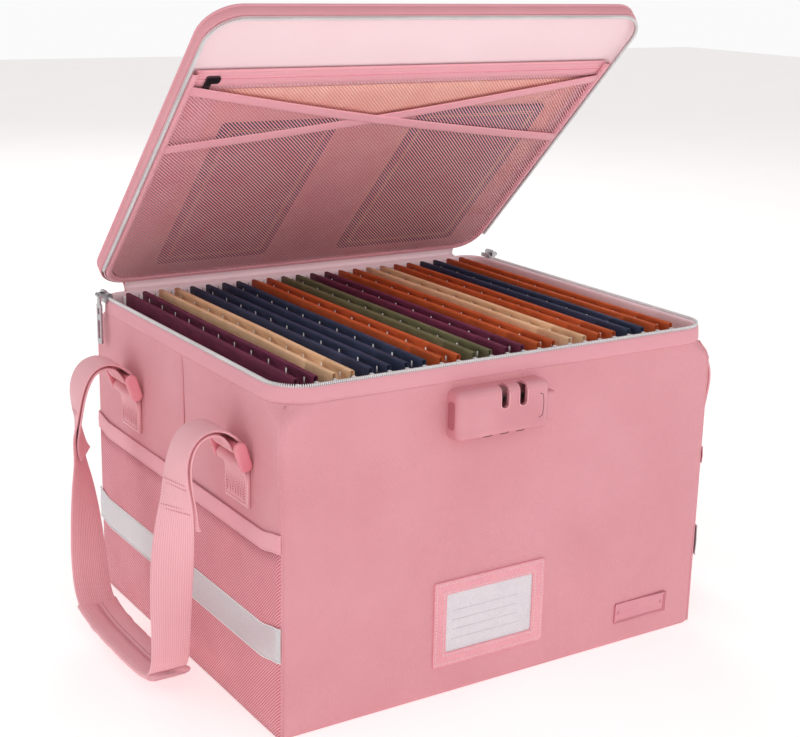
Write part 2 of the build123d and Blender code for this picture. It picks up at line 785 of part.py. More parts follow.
# ---------------------------------------------------------------- papers kept in the lid
booklet_z = front_mesh_z + 1.3
booklets = (                           # middle, reach from the hinge, width, height
    (-93.0, 116.0, 100.0, 180.0),
    (90.0, 118.0, 122.0, 190.0),
)
envelope_x, envelope_reach = 10.0, 148.0
envelope_w, envelope_h = 330.0, 190.0
with BuildPart() as lid_documents:
    with BuildSketch(lid_plane.offset(booklet_z)):
        for x, reach, wide, high in booklets:
            with Locations((x, -reach)):
                RectangleRounded(wide, high, 4)
    extrude(amount=back_mesh_z - 0.2 - booklet_z)
    with BuildSketch(lid_plane.offset(back_mesh_z + mesh_t + 0.1)):
        with Locations((envelope_x, -envelope_reach)):
            Rectangle(envelope_w, envelope_h)
    extrude(amount=lid_floor - back_mesh_z - mesh_t - 0.3)
lid_documents.part.label = "lid_documents"
export_step(lid_documents.part, "parts/lid_documents.step")

# ---------------------------------------------------------------- zipper sliders
slider_y = 138.0
slider_l = 12.0
slider_h = 5.0                         # half the outer plate's height
plate_gap = 0.3
plate_t = 1.7
inner_plate_x = -half_l + chain_inner + plate_gap
outer_plate_x = -half_l - plate_gap
pull_x = outer_plate_x - plate_t - 3.4
pull_pin_r = 0.9
pull_eye_r = 1.1
pull_w, pull_l, pull_t = 9.0, 40.0, 1.6
pull_z = rim_height + 1
ear_t, ear_h, ear_r = 1.5, 3.6, 1.8    # the bail's two ears
bail_half = 4.5                        # half the bail's width
pull_neck = 7.0                        # from the pivot to the pull's wide plate

with BuildPart() as left_slider:
    with BuildSketch(Plane.YZ.offset(outer_plate_x)):
        with Locations((slider_y, rim_height)):
            RectangleRounded(slider_l, 2 * slider_h, 2.5)
    extrude(amount=-plate_t)
    with BuildSketch(Plane.YZ.offset(inner_plate_x)):
        with Locations((slider_y, rim_height)):
            RectangleRounded(slider_l, 3.6, 1)
    extrude(amount=1.2)
    with BuildSketch(Plane.YZ.offset(outer_plate_x)):
        with Locations((slider_y, rim_height)):
            Rectangle(4, 0.8)
    extrude(until=Until.NEXT)
    # the bail: two ears and the pin that the pull swings on
    for start in (-bail_half, bail_half - ear_t):
        with BuildSketch(Plane.XZ.offset(-slider_y + start)):
            with Locations(((outer_plate_x - plate_t + pull_x) / 2, pull_z)):
                Rectangle(abs(pull_x - outer_plate_x + plate_t), ear_h)
            with Locations((pull_x, pull_z)):
                Circle(ear_r)
        extrude(amount=ear_t)
    with BuildSketch(Plane.XZ.offset(-slider_y - bail_half)):
        with Locations((pull_x, pull_z)):
            Circle(pull_pin_r)
    extrude(amount=2 * bail_half)
left_slider.part.label = "left_slider"
export_step(left_slider.part, "parts/left_slider.step")

with BuildPart() as left_pull:
    with BuildSketch(Plane.XZ.offset(-slider_y - 2.5)):
        with Locations((pull_x, pull_z)):
            Circle(2)
            Circle(pull_eye_r, mode=Mode.SUBTRACT)
        with Locations((pull_x, pull_z - 4.5)):
            Rectangle(pull_t, 6.2)
    extrude(amount=5)
    with BuildSketch(Plane.YZ.offset(pull_x - pull_t / 2)):
        with Locations((slider_y, pull_z - (pull_neck + pull_l) / 2)):
            RectangleRounded(pull_w, pull_l - pull_neck, 1.5)
        with Locations((slider_y, pull_z - 13)):
            Rectangle(4.4, 5, mode=Mode.SUBTRACT)
        with Locations((slider_y, pull_z - 28)):
            Rectangle(4.4, 15, mode=Mode.SUBTRACT)
    extrude(amount=pull_t)
left_pull.part.label = "left_pull"
export_step(left_pull.part, "parts/left_pull.step")

for name, source in (("right_slider", left_slider), ("right_pull", left_pull)):
    with BuildPart() as twin:
        add(mirror(source.part, about=Plane.YZ, mode=Mode.PRIVATE))
    twin.part.label = name
    export_step(twin.part, f"parts/{name}.step")

# ---------------------------------------------------------------- hanging files
file_colours = (
    "burgundy", "beige", "navy", "navy", "orange", "olive",
    "burgundy", "orange", "beige", "orange", "navy", "orange",
)
first_leaf_x = -171.0
leaf_pitch = 14.4
leaf_t = 0.6
leaf_half = 143.0                      # half the leaf's length, front to back
leaf_top = 250.0
leaf_foot = 16.0
hem_w, hem_h = 3.0, 12.0               # the hem that the rod runs through
rod_w, rod_h = 1.4, 8.0
rod_z = leaf_top - 1.4 - rod_h / 2


def file_x(index):
    """Where a file's left leaf stands."""
    return first_leaf_x + 2 * leaf_pitch * index


def file_profile(x):
    """A file's section: two leaves, the fold that joins them, and a hem on each leaf."""
    high = (leaf_top + leaf_foot) / 2
    with Locations((x, high), (x + leaf_pitch, high)):
        Rectangle(leaf_t, leaf_top - leaf_foot)
    with Locations((x + leaf_pitch / 2, leaf_foot + leaf_t / 2)):
        Rectangle(leaf_pitch, leaf_t)
    for leaf in (x, x + leaf_pitch):
        with Locations((leaf + hem_w / 2, leaf_top - leaf_t / 2)):
            Rectangle(hem_w, leaf_t)
        with Locations((leaf + hem_w, leaf_top - hem_h / 2)):
            Rectangle(leaf_t, hem_h)


for colour in sorted(set(file_colours)):
    with BuildPart() as files:
        with BuildSketch(Plane.XZ.offset(-leaf_half)):
            for index, name in enumerate(file_colours):
                if name == colour:
                    file_profile(file_x(index))
        extrude(amount=2 * leaf_half)
    files.part.label = f"files_{colour}"
    export_step(files.part, f"parts/files_{colour}.step")

rod_half = lip_y + rail_web / 2 + 1.4
hook_drop = 4.0
with BuildPart() as hanging_rods:
    for index in range(len(file_colours)):
        for leaf in (file_x(index), file_x(index) + leaf_pitch):
            with BuildSketch(Plane.YZ.offset(leaf + hem_w / 2 - rod_w / 2)):
                with Locations((0, rod_z)):
                    Rectangle(2 * rod_half, rod_h)
                for end in (-1, 1):
                    with Locations((end * lip_y, rod_z - rod_h / 2)):
                        Rectangle(rail_web + 0.8, 2 * (rail_top + 0.4 - rod_z + rod_h / 2),
                                  mode=Mode.SUBTRACT)
            extrude(amount=rod_w)
hanging_rods.part.label = "hanging_rods"
export_step(hanging_rods.part, "parts/hanging_rods.step")

paper_t = 1.2
paper_half = 139.0
paper_top = 236.0
with BuildPart() as file_papers:
    with BuildSketch(Plane.XY.offset(leaf_foot + leaf_t + 0.2)):
        for index in range(len(file_colours)):
            with Locations((file_x(index) + leaf_t / 2 + 0.3 + paper_t / 2, 0)):
                Rectangle(paper_t, 2 * paper_half)
    extrude(amount=paper_top - leaf_foot - leaf_t - 0.2)
file_papers.part.label = "file_papers"
export_step(file_papers.part, "parts/file_papers.step")
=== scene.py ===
"""The fireproof document box: cloth, webbing, zips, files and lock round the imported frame.

Sizes are in metres. Pieces on the lid are drawn on the lid's own plane: x along the
hinge, -y away from it, z towards the outside, and lid_frame places them.
"""
import json
from math import cos, pi, radians, sin, sqrt, tau

import bmesh
import bpy
from mathutils import Matrix, Vector, noise


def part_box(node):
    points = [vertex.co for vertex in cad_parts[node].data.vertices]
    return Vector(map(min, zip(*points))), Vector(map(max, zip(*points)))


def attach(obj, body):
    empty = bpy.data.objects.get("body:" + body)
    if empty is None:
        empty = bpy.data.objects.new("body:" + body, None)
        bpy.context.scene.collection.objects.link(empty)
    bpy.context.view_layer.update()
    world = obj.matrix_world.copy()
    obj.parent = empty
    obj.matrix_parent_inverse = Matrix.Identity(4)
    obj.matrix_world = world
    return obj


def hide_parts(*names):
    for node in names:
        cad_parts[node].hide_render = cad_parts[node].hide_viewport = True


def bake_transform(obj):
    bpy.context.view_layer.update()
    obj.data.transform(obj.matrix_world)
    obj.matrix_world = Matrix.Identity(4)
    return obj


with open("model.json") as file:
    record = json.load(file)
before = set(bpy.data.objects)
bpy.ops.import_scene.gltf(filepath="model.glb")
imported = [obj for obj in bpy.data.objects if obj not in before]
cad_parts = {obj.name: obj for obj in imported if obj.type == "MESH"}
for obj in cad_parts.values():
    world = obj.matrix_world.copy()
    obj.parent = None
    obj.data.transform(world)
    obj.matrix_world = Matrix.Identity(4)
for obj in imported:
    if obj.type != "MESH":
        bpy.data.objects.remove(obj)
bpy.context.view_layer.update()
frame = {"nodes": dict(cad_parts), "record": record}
MM = 0.001

# ---------------------------------------------------------------- shared sizes
band_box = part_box("rim_band")
half_l, half_d = band_box[1].x, band_box[1].y
rim_z = band_box[1].z + 3 * MM
rim_r = 27 * MM                        # upright corners of the rim and the lid
body_r = 8 * MM                        # upright corners of the body's panels
hinge_y = half_d + 1 * MM
lid_open = radians(45)
lid_frame = Matrix.Translation((0, hinge_y, rim_z)) @ Matrix.Rotation(-lid_open, 4, "X")
lid_middle = Vector((0, -hinge_y, 0))
tabs_low, tabs_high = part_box("anchor_tabs")
fold_y = (tabs_low.y + tabs_high.y) / 2
zip_end_y = 136 * MM                   # the zipper stops here, short of the hinge
net_reach = half_l - 8 * MM            # half the width of the lid's nets and zip
# a rounded outline's corners: the side they lie on, and the angle they start from
quarter_turns = ((-1, -1, pi), (1, -1, 1.5 * pi), (1, 1, 0.0), (-1, 1, 0.5 * pi))


# ---------------------------------------------------------------- camera
def make_camera():
    """The camera, at the photograph's viewing angle."""
    yaw, pitch, roll = radians(33.0), radians(15.59), radians(1.33)
    data = bpy.data.cameras.new("camera")
    camera = bpy.data.objects.new("camera", data)
    bpy.context.scene.collection.objects.link(camera)
    forward = Vector((sin(yaw) * cos(pitch), cos(yaw) * cos(pitch), -sin(pitch)))
    right = Vector((cos(yaw), -sin(yaw), 0))
    up = right.cross(forward)
    tipped_right = cos(roll) * right + sin(roll) * up
    tipped_up = -sin(roll) * right + cos(roll) * up
    turn = Matrix((tipped_right, tipped_up, -forward)).transposed().to_4x4()
    camera.matrix_world = Matrix.Translation((-0.6252, -0.9680, 0.5257)) @ turn
    data.lens = 66.66
    data.sensor_width = 36
    data.shift_x = 0.0015
    data.shift_y = -0.0029
    data.clip_start = 0.01
    bpy.context.scene.camera = camera


def make_studio():
    """A pale floor, soft area lights and an even sky."""
    mesh = bpy.data.meshes.new("floor")
    reach = 6
    mesh.from_pydata(
        [(-reach, -reach, 0), (reach, -reach, 0), (reach, reach, 0), (-reach, reach, 0)],
        [], [(0, 1, 2, 3)],
    )
    floor = bpy.data.objects.new("floor", mesh)
    bpy.context.scene.collection.objects.link(floor)
    shader = Shader("floor", 0.9)
    grain = shader.noise(6, 3)
    shader.colour(shader.ramp(grain, [(0.3, rgb("F4F2F1")), (0.7, rgb("F8F7F6"))]))
    shader.surface.inputs["Emission Color"].default_value = rgb("FFFAF9")
    shader.surface.inputs["Emission Strength"].default_value = 0.42
    mesh.materials.append(shader.material)
    middle, inside_lid = (0, 0, 0.17), (0, 0.1, 0.36)
    lights = (
        ("key", (-1.1, -1.9, 1.9), middle, 1.6, 10, "FFFDFB"),
        ("fill", (1.9, -1.5, 1.4), middle, 1.8, 8, "FFFFFF"),
        ("low", (-0.2, -1.9, 0.35), middle, 1.6, 6.5, "FFFFFF"),
        ("lid card", (0, -0.12, 0.3), inside_lid, 0.34, 0.15, "FFFFFF"),
        ("side", (-2.2, 0.5, 1.3), middle, 1.6, 9, "FFFFFF"),
        ("back", (0.7, 2.1, 1.9), middle, 1.6, 14, "FFFFFF"),
    )
    for name, place, target, size, power, colour in lights:
        data = bpy.data.lights.new(name, "AREA")
        data.energy, data.size, data.color = power, size, rgb(colour)[:3]
        light = bpy.data.objects.new(name, data)
        bpy.context.scene.collection.objects.link(light)
        aim = Vector(target) - Vector(place)
        turn = aim.to_track_quat("-Z", "Y").to_matrix().to_4x4()
        light.matrix_world = Matrix.Translation(place) @ turn
    world = bpy.data.worlds.new("sky")
    bpy.context.scene.world = world
    world.use_nodes = True
    sky = world.node_tree.nodes["Background"]
    sky.inputs[0].default_value = rgb("FFFFFF")
    # the sky is brighter to the camera than it is as a light
    seen = world.node_tree.nodes.new("ShaderNodeLightPath")
    strength = world.node_tree.nodes.new("ShaderNodeMath")
    strength.operation = "MULTIPLY_ADD"
    strength.inputs[1].default_value, strength.inputs[2].default_value = 0.5, 0.46
    world.node_tree.links.new(seen.outputs["Is Camera Ray"], strength.inputs[0])
    world.node_tree.links.new(strength.outputs[0], sky.inputs[1])
    bpy.context.scene.view_settings.view_transform = "Standard"


# ---------------------------------------------------------------- shading helpers
def rgb(code):
    """A linear colour from a hex code."""
    values = []
    for start in (0, 2, 4):
        value = int(code[start:start + 2], 16) / 255
        values.append(value / 12.92 if value <= 0.04045 else ((value + 0.055) / 1.055) ** 2.4)
    return (*values, 1.0)


class Shader:
    """A material with a Principled shader, and short names for the nodes that feed it."""

    def __init__(self, name, roughness, **fixed):
        self.material = bpy.data.materials.new(name)
        self.material.use_nodes = True
        self.tree = self.material.node_tree
        self.surface = self.tree.nodes["Principled BSDF"]
        self.surface.inputs["Roughness"].default_value = roughness
        for socket, value in fixed.items():
            self.surface.inputs[socket.replace("_", " ")].default_value = value
        self.place = self.node("ShaderNodeTexCoord").outputs["Object"]

    def node(self, kind, inputs=None, **settings):
        """A new node with its inputs fed and its settings made."""
        made = self.tree.nodes.new(kind)
        for key, value in settings.items():
            setattr(made, key, value)
        for key, value in (inputs or {}).items():
            self.feed(made.inputs[key], value)
        return made

    def feed(self, socket, value):
        """Links a node's output to a socket, or sets the socket to a plain value."""
        if isinstance(value, bpy.types.NodeSocket):
            self.tree.links.new(value, socket)
        else:
            socket.default_value = value

    def maths(self, operation, first, second=0.0, third=0.0, clamp=False):
        made = self.node("ShaderNodeMath", operation=operation)
        made.use_clamp = clamp
        for index, value in enumerate((first, second, third)):
            self.feed(made.inputs[index], value)
        return made.outputs[0]

    def noise(self, scale, detail, vector=None):
        """Noise from 0 to 1 over the object's own place, or over another vector."""
        return self.node(
            "ShaderNodeTexNoise",
            {"Vector": vector or self.place, "Scale": scale, "Detail": detail},
        ).outputs["Fac"]

    def stretched(self, x, y, z):
        """The place, scaled by axis, for grain that runs one way."""
        return self.node(
            "ShaderNodeVectorMath", {0: self.place, 1: (x, y, z)}, operation="MULTIPLY"
        ).outputs[0]

    def axes(self):
        """The place's x, y and z."""
        return self.node("ShaderNodeSeparateXYZ", {0: self.place}).outputs

    def flat(self):
        """The cloth's own two directions, in metres, as the lofts write them."""
        uv = self.node("ShaderNodeUVMap", uv_map="metres").outputs[0]
        return self.node("ShaderNodeSeparateXYZ", {0: uv}).outputs

    def wave(self, value, pitch):
        """A smooth wave from 0 to 1, with the given pitch in metres."""
        turned = self.maths("MULTIPLY", value, tau / pitch)
        return self.maths("MULTIPLY_ADD", self.maths("SINE", turned), 0.5, 0.5)

    def total(self, *terms):
        """A weighted sum of (value, weight) pairs."""
        result = 0.0
        for value, weight in terms:
            result = self.maths("MULTIPLY_ADD", value, weight, result)
        return result

    def ramp(self, value, stops):
        """A colour for each value, from (position, colour) stops."""
        made = self.node("ShaderNodeValToRGB", {0: value})
        points = made.color_ramp.elements
        while len(points) < len(stops):
            points.new(0.5)
        for point, (position, colour) in zip(points, stops):
            point.position, point.color = position, colour
        return made.outputs[0]

    def mix(self, factor, first, second):
        made = self.node("ShaderNodeMix", data_type="RGBA")
        for index, value in ((0, factor), (6, first), (7, second)):
            self.feed(made.inputs[index], value)
        return made.outputs[2]

    def colour(self, value):
        self.feed(self.surface.inputs["Base Color"], value)

    def bump(self, height, strength, distance):
        """Relief in the shading, from a height value."""
        made = self.node(
            "ShaderNodeBump", {"Height": height, "Strength": strength, "Distance": distance}
        )
        self.feed(self.surface.inputs["Normal"], made.outputs[0])


def woven(name, light, dark, pitch, depth=0.22 * MM, sheen=0.12):
    """Coated fabric with a fine diagonal weave, a little uneven in tone."""
    shader = Shader(name, 0.78, Sheen_Weight=sheen)
    x, y, z = shader.axes()
    along = shader.maths("ADD", shader.maths("ADD", x, y), z)
    across = shader.maths("SUBTRACT", shader.maths("SUBTRACT", x, y), z)
    threads = shader.maths("MULTIPLY", shader.wave(along, pitch), shader.wave(across, pitch))
    grain = shader.noise(1400, 2)
    tone = shader.total((threads, 0.42), (grain, 0.3), (shader.noise(14, 4), 0.35))
    shader.colour(shader.ramp(tone, [(0.15, rgb(dark)), (0.72, rgb(light))]))
    shader.bump(shader.total((threads, 1.0), (grain, 0.5)), 0.5, depth)
    return shader.material


def ribbed(name, light, dark, pitch=1.6 * MM, lengthwise=True):
    """Narrow webbing or tape: ribs along or across it, with a fine cross thread."""
    shader = Shader(name, 0.62, Sheen_Weight=0.2)
    u, v, _ = shader.flat()
    first, second = (u, v) if lengthwise else (v, u)
    ribs = shader.wave(first, pitch)
    picks = shader.wave(second, 0.55 * pitch)
    fuzz = shader.noise(1800, 2)
    tone = shader.total((ribs, 0.45), (picks, 0.2), (fuzz, 0.3), (shader.noise(30, 3), 0.25))
    shader.colour(shader.ramp(tone, [(0.25, rgb(dark)), (0.8, rgb(light))]))
    shader.bump(shader.total((ribs, 1.0), (picks, 0.35), (fuzz, 0.25)), 0.55, 0.3 * MM)
    return shader.material


def netting(name, light, dark, pitch, hole_alpha, cross=0.45, reach=(3.4, -1.05)):
    """Open mesh: slanting rows of holes between threads."""
    shader = Shader(name, 0.6, Sheen_Weight=0.1)
    u, v, _ = shader.flat()
    rows = shader.wave(shader.maths("ADD", u, v), pitch)
    steps = shader.wave(shader.maths("SUBTRACT", u, v), 1.35 * pitch)
    open_ = shader.maths("MULTIPLY", rows, shader.maths("MULTIPLY_ADD", steps, cross, 1 - cross))
    hole = shader.maths("MULTIPLY_ADD", open_, *reach, clamp=True)
    tone = shader.total((shader.noise(40, 3), 0.5), (shader.noise(900, 2), 0.3), (rows, 0.1))
    thread = shader.ramp(tone, [(0.25, rgb(dark)), (0.7, rgb(light))])
    if hole_alpha < 1:
        shader.colour(thread)
        shader.feed(
            shader.surface.inputs["Alpha"],
            shader.maths("MULTIPLY_ADD", hole, hole_alpha - 1, 1.0),
        )
    else:
        # solid netting paints its holes dark pink: the wall seen through them, darkened as painted
        # shade
        shader.colour(shader.mix(hole, thread, rgb("C4606E")))
    shader.bump(shader.maths("SUBTRACT", 1.0, hole), 0.8, 0.35 * MM)
    return shader.material


def moulded(name, light, dark, roughness, coat=0.25):
    """Moulded plastic: a fine spark-eroded grain and slight unevenness."""
    shader = Shader(name, roughness, Coat_Weight=coat, Coat_Roughness=0.3)
    fine, broad = shader.noise(2600, 3), shader.noise(22, 3)
    shader.colour(shader.ramp(broad, [(0.3, rgb(dark)), (0.7, rgb(light))]))
    rough = shader.maths("MULTIPLY_ADD", broad, 0.16, roughness - 0.08)
    shader.feed(shader.surface.inputs["Roughness"], rough)
    shader.bump(shader.total((fine, 1.0), (broad, 0.6)), 0.5, 0.03 * MM)
    return shader.material


def brushed(name, light, dark, roughness):
    """Metal with a fine directional grain."""
    shader = Shader(name, roughness, Metallic=1.0)
    lines = shader.noise(60, 4, shader.stretched(1, 40, 40))
    smear = shader.noise(25, 3)
    tone = shader.total((lines, 0.6), (smear, 0.4))
    shader.colour(shader.ramp(tone, [(0.3, rgb(dark)), (0.7, rgb(light))]))
    rough = shader.maths("MULTIPLY_ADD", lines, 0.2, roughness - 0.1)
    shader.feed(shader.surface.inputs["Roughness"], rough)
    shader.bump(lines, 0.25, 0.03 * MM)
    return shader.material


def board(name, light, dark, roughness=0.7, fibre=260):
    """Pressboard, paper or card: short fibres pressed flat, with faint specks."""
    shader = Shader(name, roughness)
    fibres = shader.noise(fibre, 5, shader.stretched(1, 0.25, 1))
    specks = shader.noise(1900, 2)
    tone = shader.total((fibres, 0.7), (specks, 0.3))
    shader.colour(shader.ramp(tone, [(0.32, rgb(dark)), (0.66, rgb(light))]))
    shader.bump(shader.total((fibres, 0.5), (specks, 0.5)), 0.3, 0.05 * MM)
    return shader.material


def leather(name, light, dark, scale=1100):
    """Grained leather: small raised cells, with painted shade darkening the creases between them.
    """
    shader = Shader(name, 0.5, Coat_Weight=0.08)
    cells = shader.node(
        "ShaderNodeTexVoronoi", {"Vector": shader.place, "Scale": scale}, feature="F1"
    ).outputs["Distance"]
    broad = shader.noise(30, 4)
    # the colour darkens towards each cell's edge: painted shade in the creases
    tone = shader.maths("ADD", shader.total((cells, -0.5), (broad, 0.6)), 0.45)
    shader.colour(shader.ramp(tone, [(0.3, rgb(dark)), (0.62, rgb(light))]))
    shader.bump(shader.total((cells, -1.0), (broad, 0.3)), 0.5, 0.12 * MM)
    return shader.material


def thread(name, light, dark):
    """Sewing thread, twisted finely."""
    shader = Shader(name, 0.55, Sheen_Weight=0.2)
    shader.colour(shader.ramp(shader.noise(2200, 2), [(0.35, rgb(dark)), (0.65, rgb(light))]))
    shader.bump(shader.noise(3000, 2), 0.4, 0.05 * MM)
    return shader.material


def bead(name):
    """Reflective tape: grey glass-bead film with a fine honeycomb."""
    shader = Shader(name, 0.4, Metallic=0.25, Coat_Weight=0.3, Coat_Roughness=0.25)
    cells = shader.node(
        "ShaderNodeTexVoronoi", {"Vector": shader.place, "Scale": 520}, feature="DISTANCE_TO_EDGE"
    ).outputs["Distance"]
    sparkle = shader.noise(2400, 2)
    tone = shader.total((cells, 0.8), (sparkle, 0.5), (shader.noise(16, 3), 0.3))
    shader.colour(shader.ramp(tone, [(0.3, rgb("C6C3C6")), (0.8, rgb("DAD7DA"))]))
    shader.bump(shader.total((cells, 1.0), (sparkle, 0.3)), 0.3, 0.06 * MM)
    return shader.material


def clear(name):
    """A thin clear film over the card."""
    shader = Shader(name, 0.3, Alpha=0.1, Coat_Weight=0.2, Coat_Roughness=0.2)
    shader.colour(shader.ramp(shader.noise(40, 2), [(0.3, rgb("F4F2F6")), (0.7, rgb("FFFFFF"))]))
    shader.bump(shader.noise(24, 2), 0.1, 0.1 * MM)
    return shader.material


finish_of = {
    "shell_fabric": woven("shell_fabric", "F0ACB5", "D2868F", 1.6 * MM, depth=0.42 * MM),
    "band_fabric": woven("band_fabric", "ECA8B2", "DD97A3", pitch=1.0 * MM, depth=0.12 * MM),
    "base_fabric": woven("base_fabric", "DE98A2", "C9808B", pitch=1.8 * MM),
    "fire_board": board("fire_board", "E7E3DC", "CFC9C0"),
    "lining": woven("lining", "FBE2E6", "F2D0D6", pitch=0.9 * MM, depth=0.08 * MM, sheen=0.2),
    "mesh": netting("mesh", "F9AEB7", "EA97A3", 2.5 * MM, 1.0),
    "webbing": ribbed("webbing", "F7BBC2", "E79CA6"),
    "binding": ribbed("binding", "F7B0BA", "EA9AA7", 1.1 * MM, lengthwise=False),
    "reflective": bead("reflective"),
    "zip_tape": ribbed("zip_tape", "EFC3C9", "D9A0A9", 0.9 * MM),
    "zip_teeth": moulded("zip_teeth", "F0EEEF", "D6D3D4", 0.35, 0.2),
    "steel": brushed("steel", "C9C8CA", "8E8D92", 0.32),
    "dark_metal": brushed("dark_metal", "77757B", "3E3C42", 0.34),
    "screw_steel": brushed("screw_steel", "B9B8BA", "8C8B8E", 0.35),
    "ring_plastic": moulded("ring_plastic", "F09AA6", "E48593", 0.36),
    "lock_plastic": moulded("lock_plastic", "DE969F", "D28791", 0.33, 0.3),
    "wheel_plastic": moulded("wheel_plastic", "C27A84", "A65F6A", 0.4),
    "frame_leather": leather("frame_leather", "F0A8B1", "E397A2"),
    "clear_film": clear("clear_film"),
    "card": board("card", "E4DEE3", "DAD4DA", 0.55),
    "plate_metal": brushed("plate_metal", "E9AEB6", "D3909B", 0.42),
    "rail_plastic": moulded("rail_plastic", "F7F5F5", "ECE9EA", 0.4),
    "rod_steel": brushed("rod_steel", "C6C6C8", "85858A", 0.35),
    "paper": board("paper", "FBFAF8", "EFEDE9", 0.8),
    "card_burgundy": board("card_burgundy", "77284A", "5A1A36"),
    "card_beige": board("card_beige", "F2C9A2", "E2B487"),
    "card_navy": board("card_navy", "333C5B", "252C45"),
    "card_orange": board("card_orange", "CF5F2B", "B34A1B"),
    "card_olive": board("card_olive", "75734F", "5D5C3F"),
    "documents": leather("documents", "3F425C", "2D3047", 900),
}
# the lid's front nets are paler than the side mesh: partly their own colour, partly painted light
# lifting the shade under the lid
net_open = netting("lid_net", "FFC6CD", "F5A3AF", 3.0 * MM, 0.04, cross=0.2, reach=(3.8, -0.9))
net_sheer = netting("sheer_net", "F8A9B3", "EC8F9C", 3.0 * MM, 0.03, cross=0.2, reach=(4, -0.8))
seam_thread = thread("seam_thread", "F6B4BC", "DD8E99")
deep_thread = thread("deep_thread", "D9707F", "C25C6C")
white_thread = thread("white_thread", "FFFFFF", "E9E4E6")
envelope_paper = board("envelope_paper", "FFD2B8", "F7C0A2", 0.6, 120)
page_paper = board("page_paper", "F5EFE4", "DDD5C6", 0.8, 900)
rule_ink = moulded("rule_ink", "C3B7C0", "B3A6B0", 0.6, 0.0)
# a lighter copy of the lock's plastic for the raised slot rims: painted highlight
slot_rim_highlight = moulded("slot_rim_highlight", "F3B2BA", "EBA3AC", 0.3, 0.3)
# a darker copy of the lock's plastic: painted shade for the housing's end
end_shade = moulded("end_shade", "C4737E", "B0606B", 0.35, 0.2)
# near-black for the notches and the button's seam: painted shade
crevice_shade = moulded("crevice_shade", "4A2A30", "341C22", 0.5, 0.0)
gilt = brushed("gilt", "E6C59A", "C79F6C", 0.4)

for row in frame["record"]["subparts"]:
    node = frame["nodes"][row["node"]]
    node.data.materials.clear()
    node.data.materials.append(finish_of[row["material_slot"]])


# ---------------------------------------------------------------- mesh helpers
def piece(name, mesh, slot, body, place=None, finish=None, replaces=(), bevel=0.0, thick=0.0):
    """Puts a mesh in the scene with its finish, on the body that it moves with."""
    obj = bpy.data.objects.new(name, mesh)
    bpy.context.scene.collection.objects.link(obj)
    mesh.materials.append(finish or finish_of[slot])
    if place is not None:
        obj.matrix_world = place
    if thick:
        solid = obj.modifiers.new("thickness", "SOLIDIFY")
        solid.thickness, solid.offset = thick, 0
    if bevel:
        edge = obj.modifiers.new("edges", "BEVEL")
        edge.width, edge.segments, edge.limit_method = bevel, 3, "ANGLE"
        edge.angle_limit = radians(40)
        edge.harden_normals = True
    if body:
        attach(obj, body)
    if replaces:
        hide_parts(*replaces)
    return obj


def on_lid(name, mesh, slot, **options):
    """A piece drawn on the lid's own plane, which moves with the lid."""
    return piece(name, mesh, slot, "lid", lid_frame, **options)


def smooth(mesh):
    """Shades all of a mesh's faces smoothly."""
    mesh.polygons.foreach_set("use_smooth", [True] * len(mesh.polygons))
    return mesh


def loft(name, rows, around=True, low_cap=False, high_cap=False, skip=None):
    """A skin over rows of points, with its own two directions in metres as a UV map."""
    count, height = len(rows[0]), len(rows)
    span = count if around else count - 1
    faces = []
    for row in range(height - 1):
        for column in range(span):
            if skip and skip(row, column):
                continue
            after = (column + 1) % count
            faces.append((row * count + column, row * count + after,
                          (row + 1) * count + after, (row + 1) * count + column))
    if low_cap:
        faces.append(tuple(reversed(range(count))))
    if high_cap:
        faces.append(tuple(range((height - 1) * count, height * count)))
    mesh = bpy.data.meshes.new(name)
    mesh.from_pydata([tuple(point) for row in rows for point in row], [], faces)
    across = [0.0]
    middle = rows[height // 2]
    for column in range(count):
        step = (middle[(column + 1) % count] - middle[column]).length
        across.append(across[-1] + step)
    up = [0.0]
    for row in range(1, height):
        up.append(up[-1] + (rows[row][0] - rows[row - 1][0]).length)
    layer = mesh.uv_layers.new(name="metres")
    for face in mesh.polygons:
        wraps = {mesh.loops[index].vertex_index % count for index in face.loop_indices}
        for index in face.loop_indices:
            row, column = divmod(mesh.loops[index].vertex_index, count)
            if column == 0 and around and count - 1 in wraps:
                column = count
            layer.data[index].uv = (across[column], up[row])
    return smooth(mesh)


def join(name, parts):
    """One mesh from many; a part is a mesh, or a (mesh, matrix) pair."""
    together = bmesh.new()
    for part in parts:
        mesh, place = part if isinstance(part, tuple) else (part, None)
        if place is not None:
            mesh.transform(place)
        together.from_mesh(mesh)
        bpy.data.meshes.remove(mesh)
    result = bpy.data.meshes.new(name)
    together.to_mesh(result)
    together.free()
    return result


def outline(inset, radius, height=0.0, lift=None, straight=(44, 36), bend=8):
    """Points round the box's outline, anticlockwise from the front left corner."""
    turn = max(radius - inset, 0.2 * MM)
    wide, deep = half_l - inset - turn, half_d - inset - turn
    arcs = []
    for side_x, side_y, start in quarter_turns:
        arc = []
        for step in range(bend + 1):
            angle = start + step / bend * pi / 2
            out_x, out_y = cos(angle), sin(angle)
            point = Vector((side_x * wide + turn * out_x, side_y * deep + turn * out_y, height))
            arc.append((point, Vector((out_x, out_y, 0))))
        arcs.append(arc)
    points = []
    for index, arc in enumerate(arcs):
        points += arc
        begin, finish = arc[-1], arcs[(index + 1) % 4][0]
        steps = straight[index % 2]
        points += [(begin[0].lerp(finish[0], step / steps), begin[1]) for step in range(1, steps)]
    if lift is None:
        return [point for point, _ in points]
    return [point + outward * lift(point, outward) for point, outward in points]


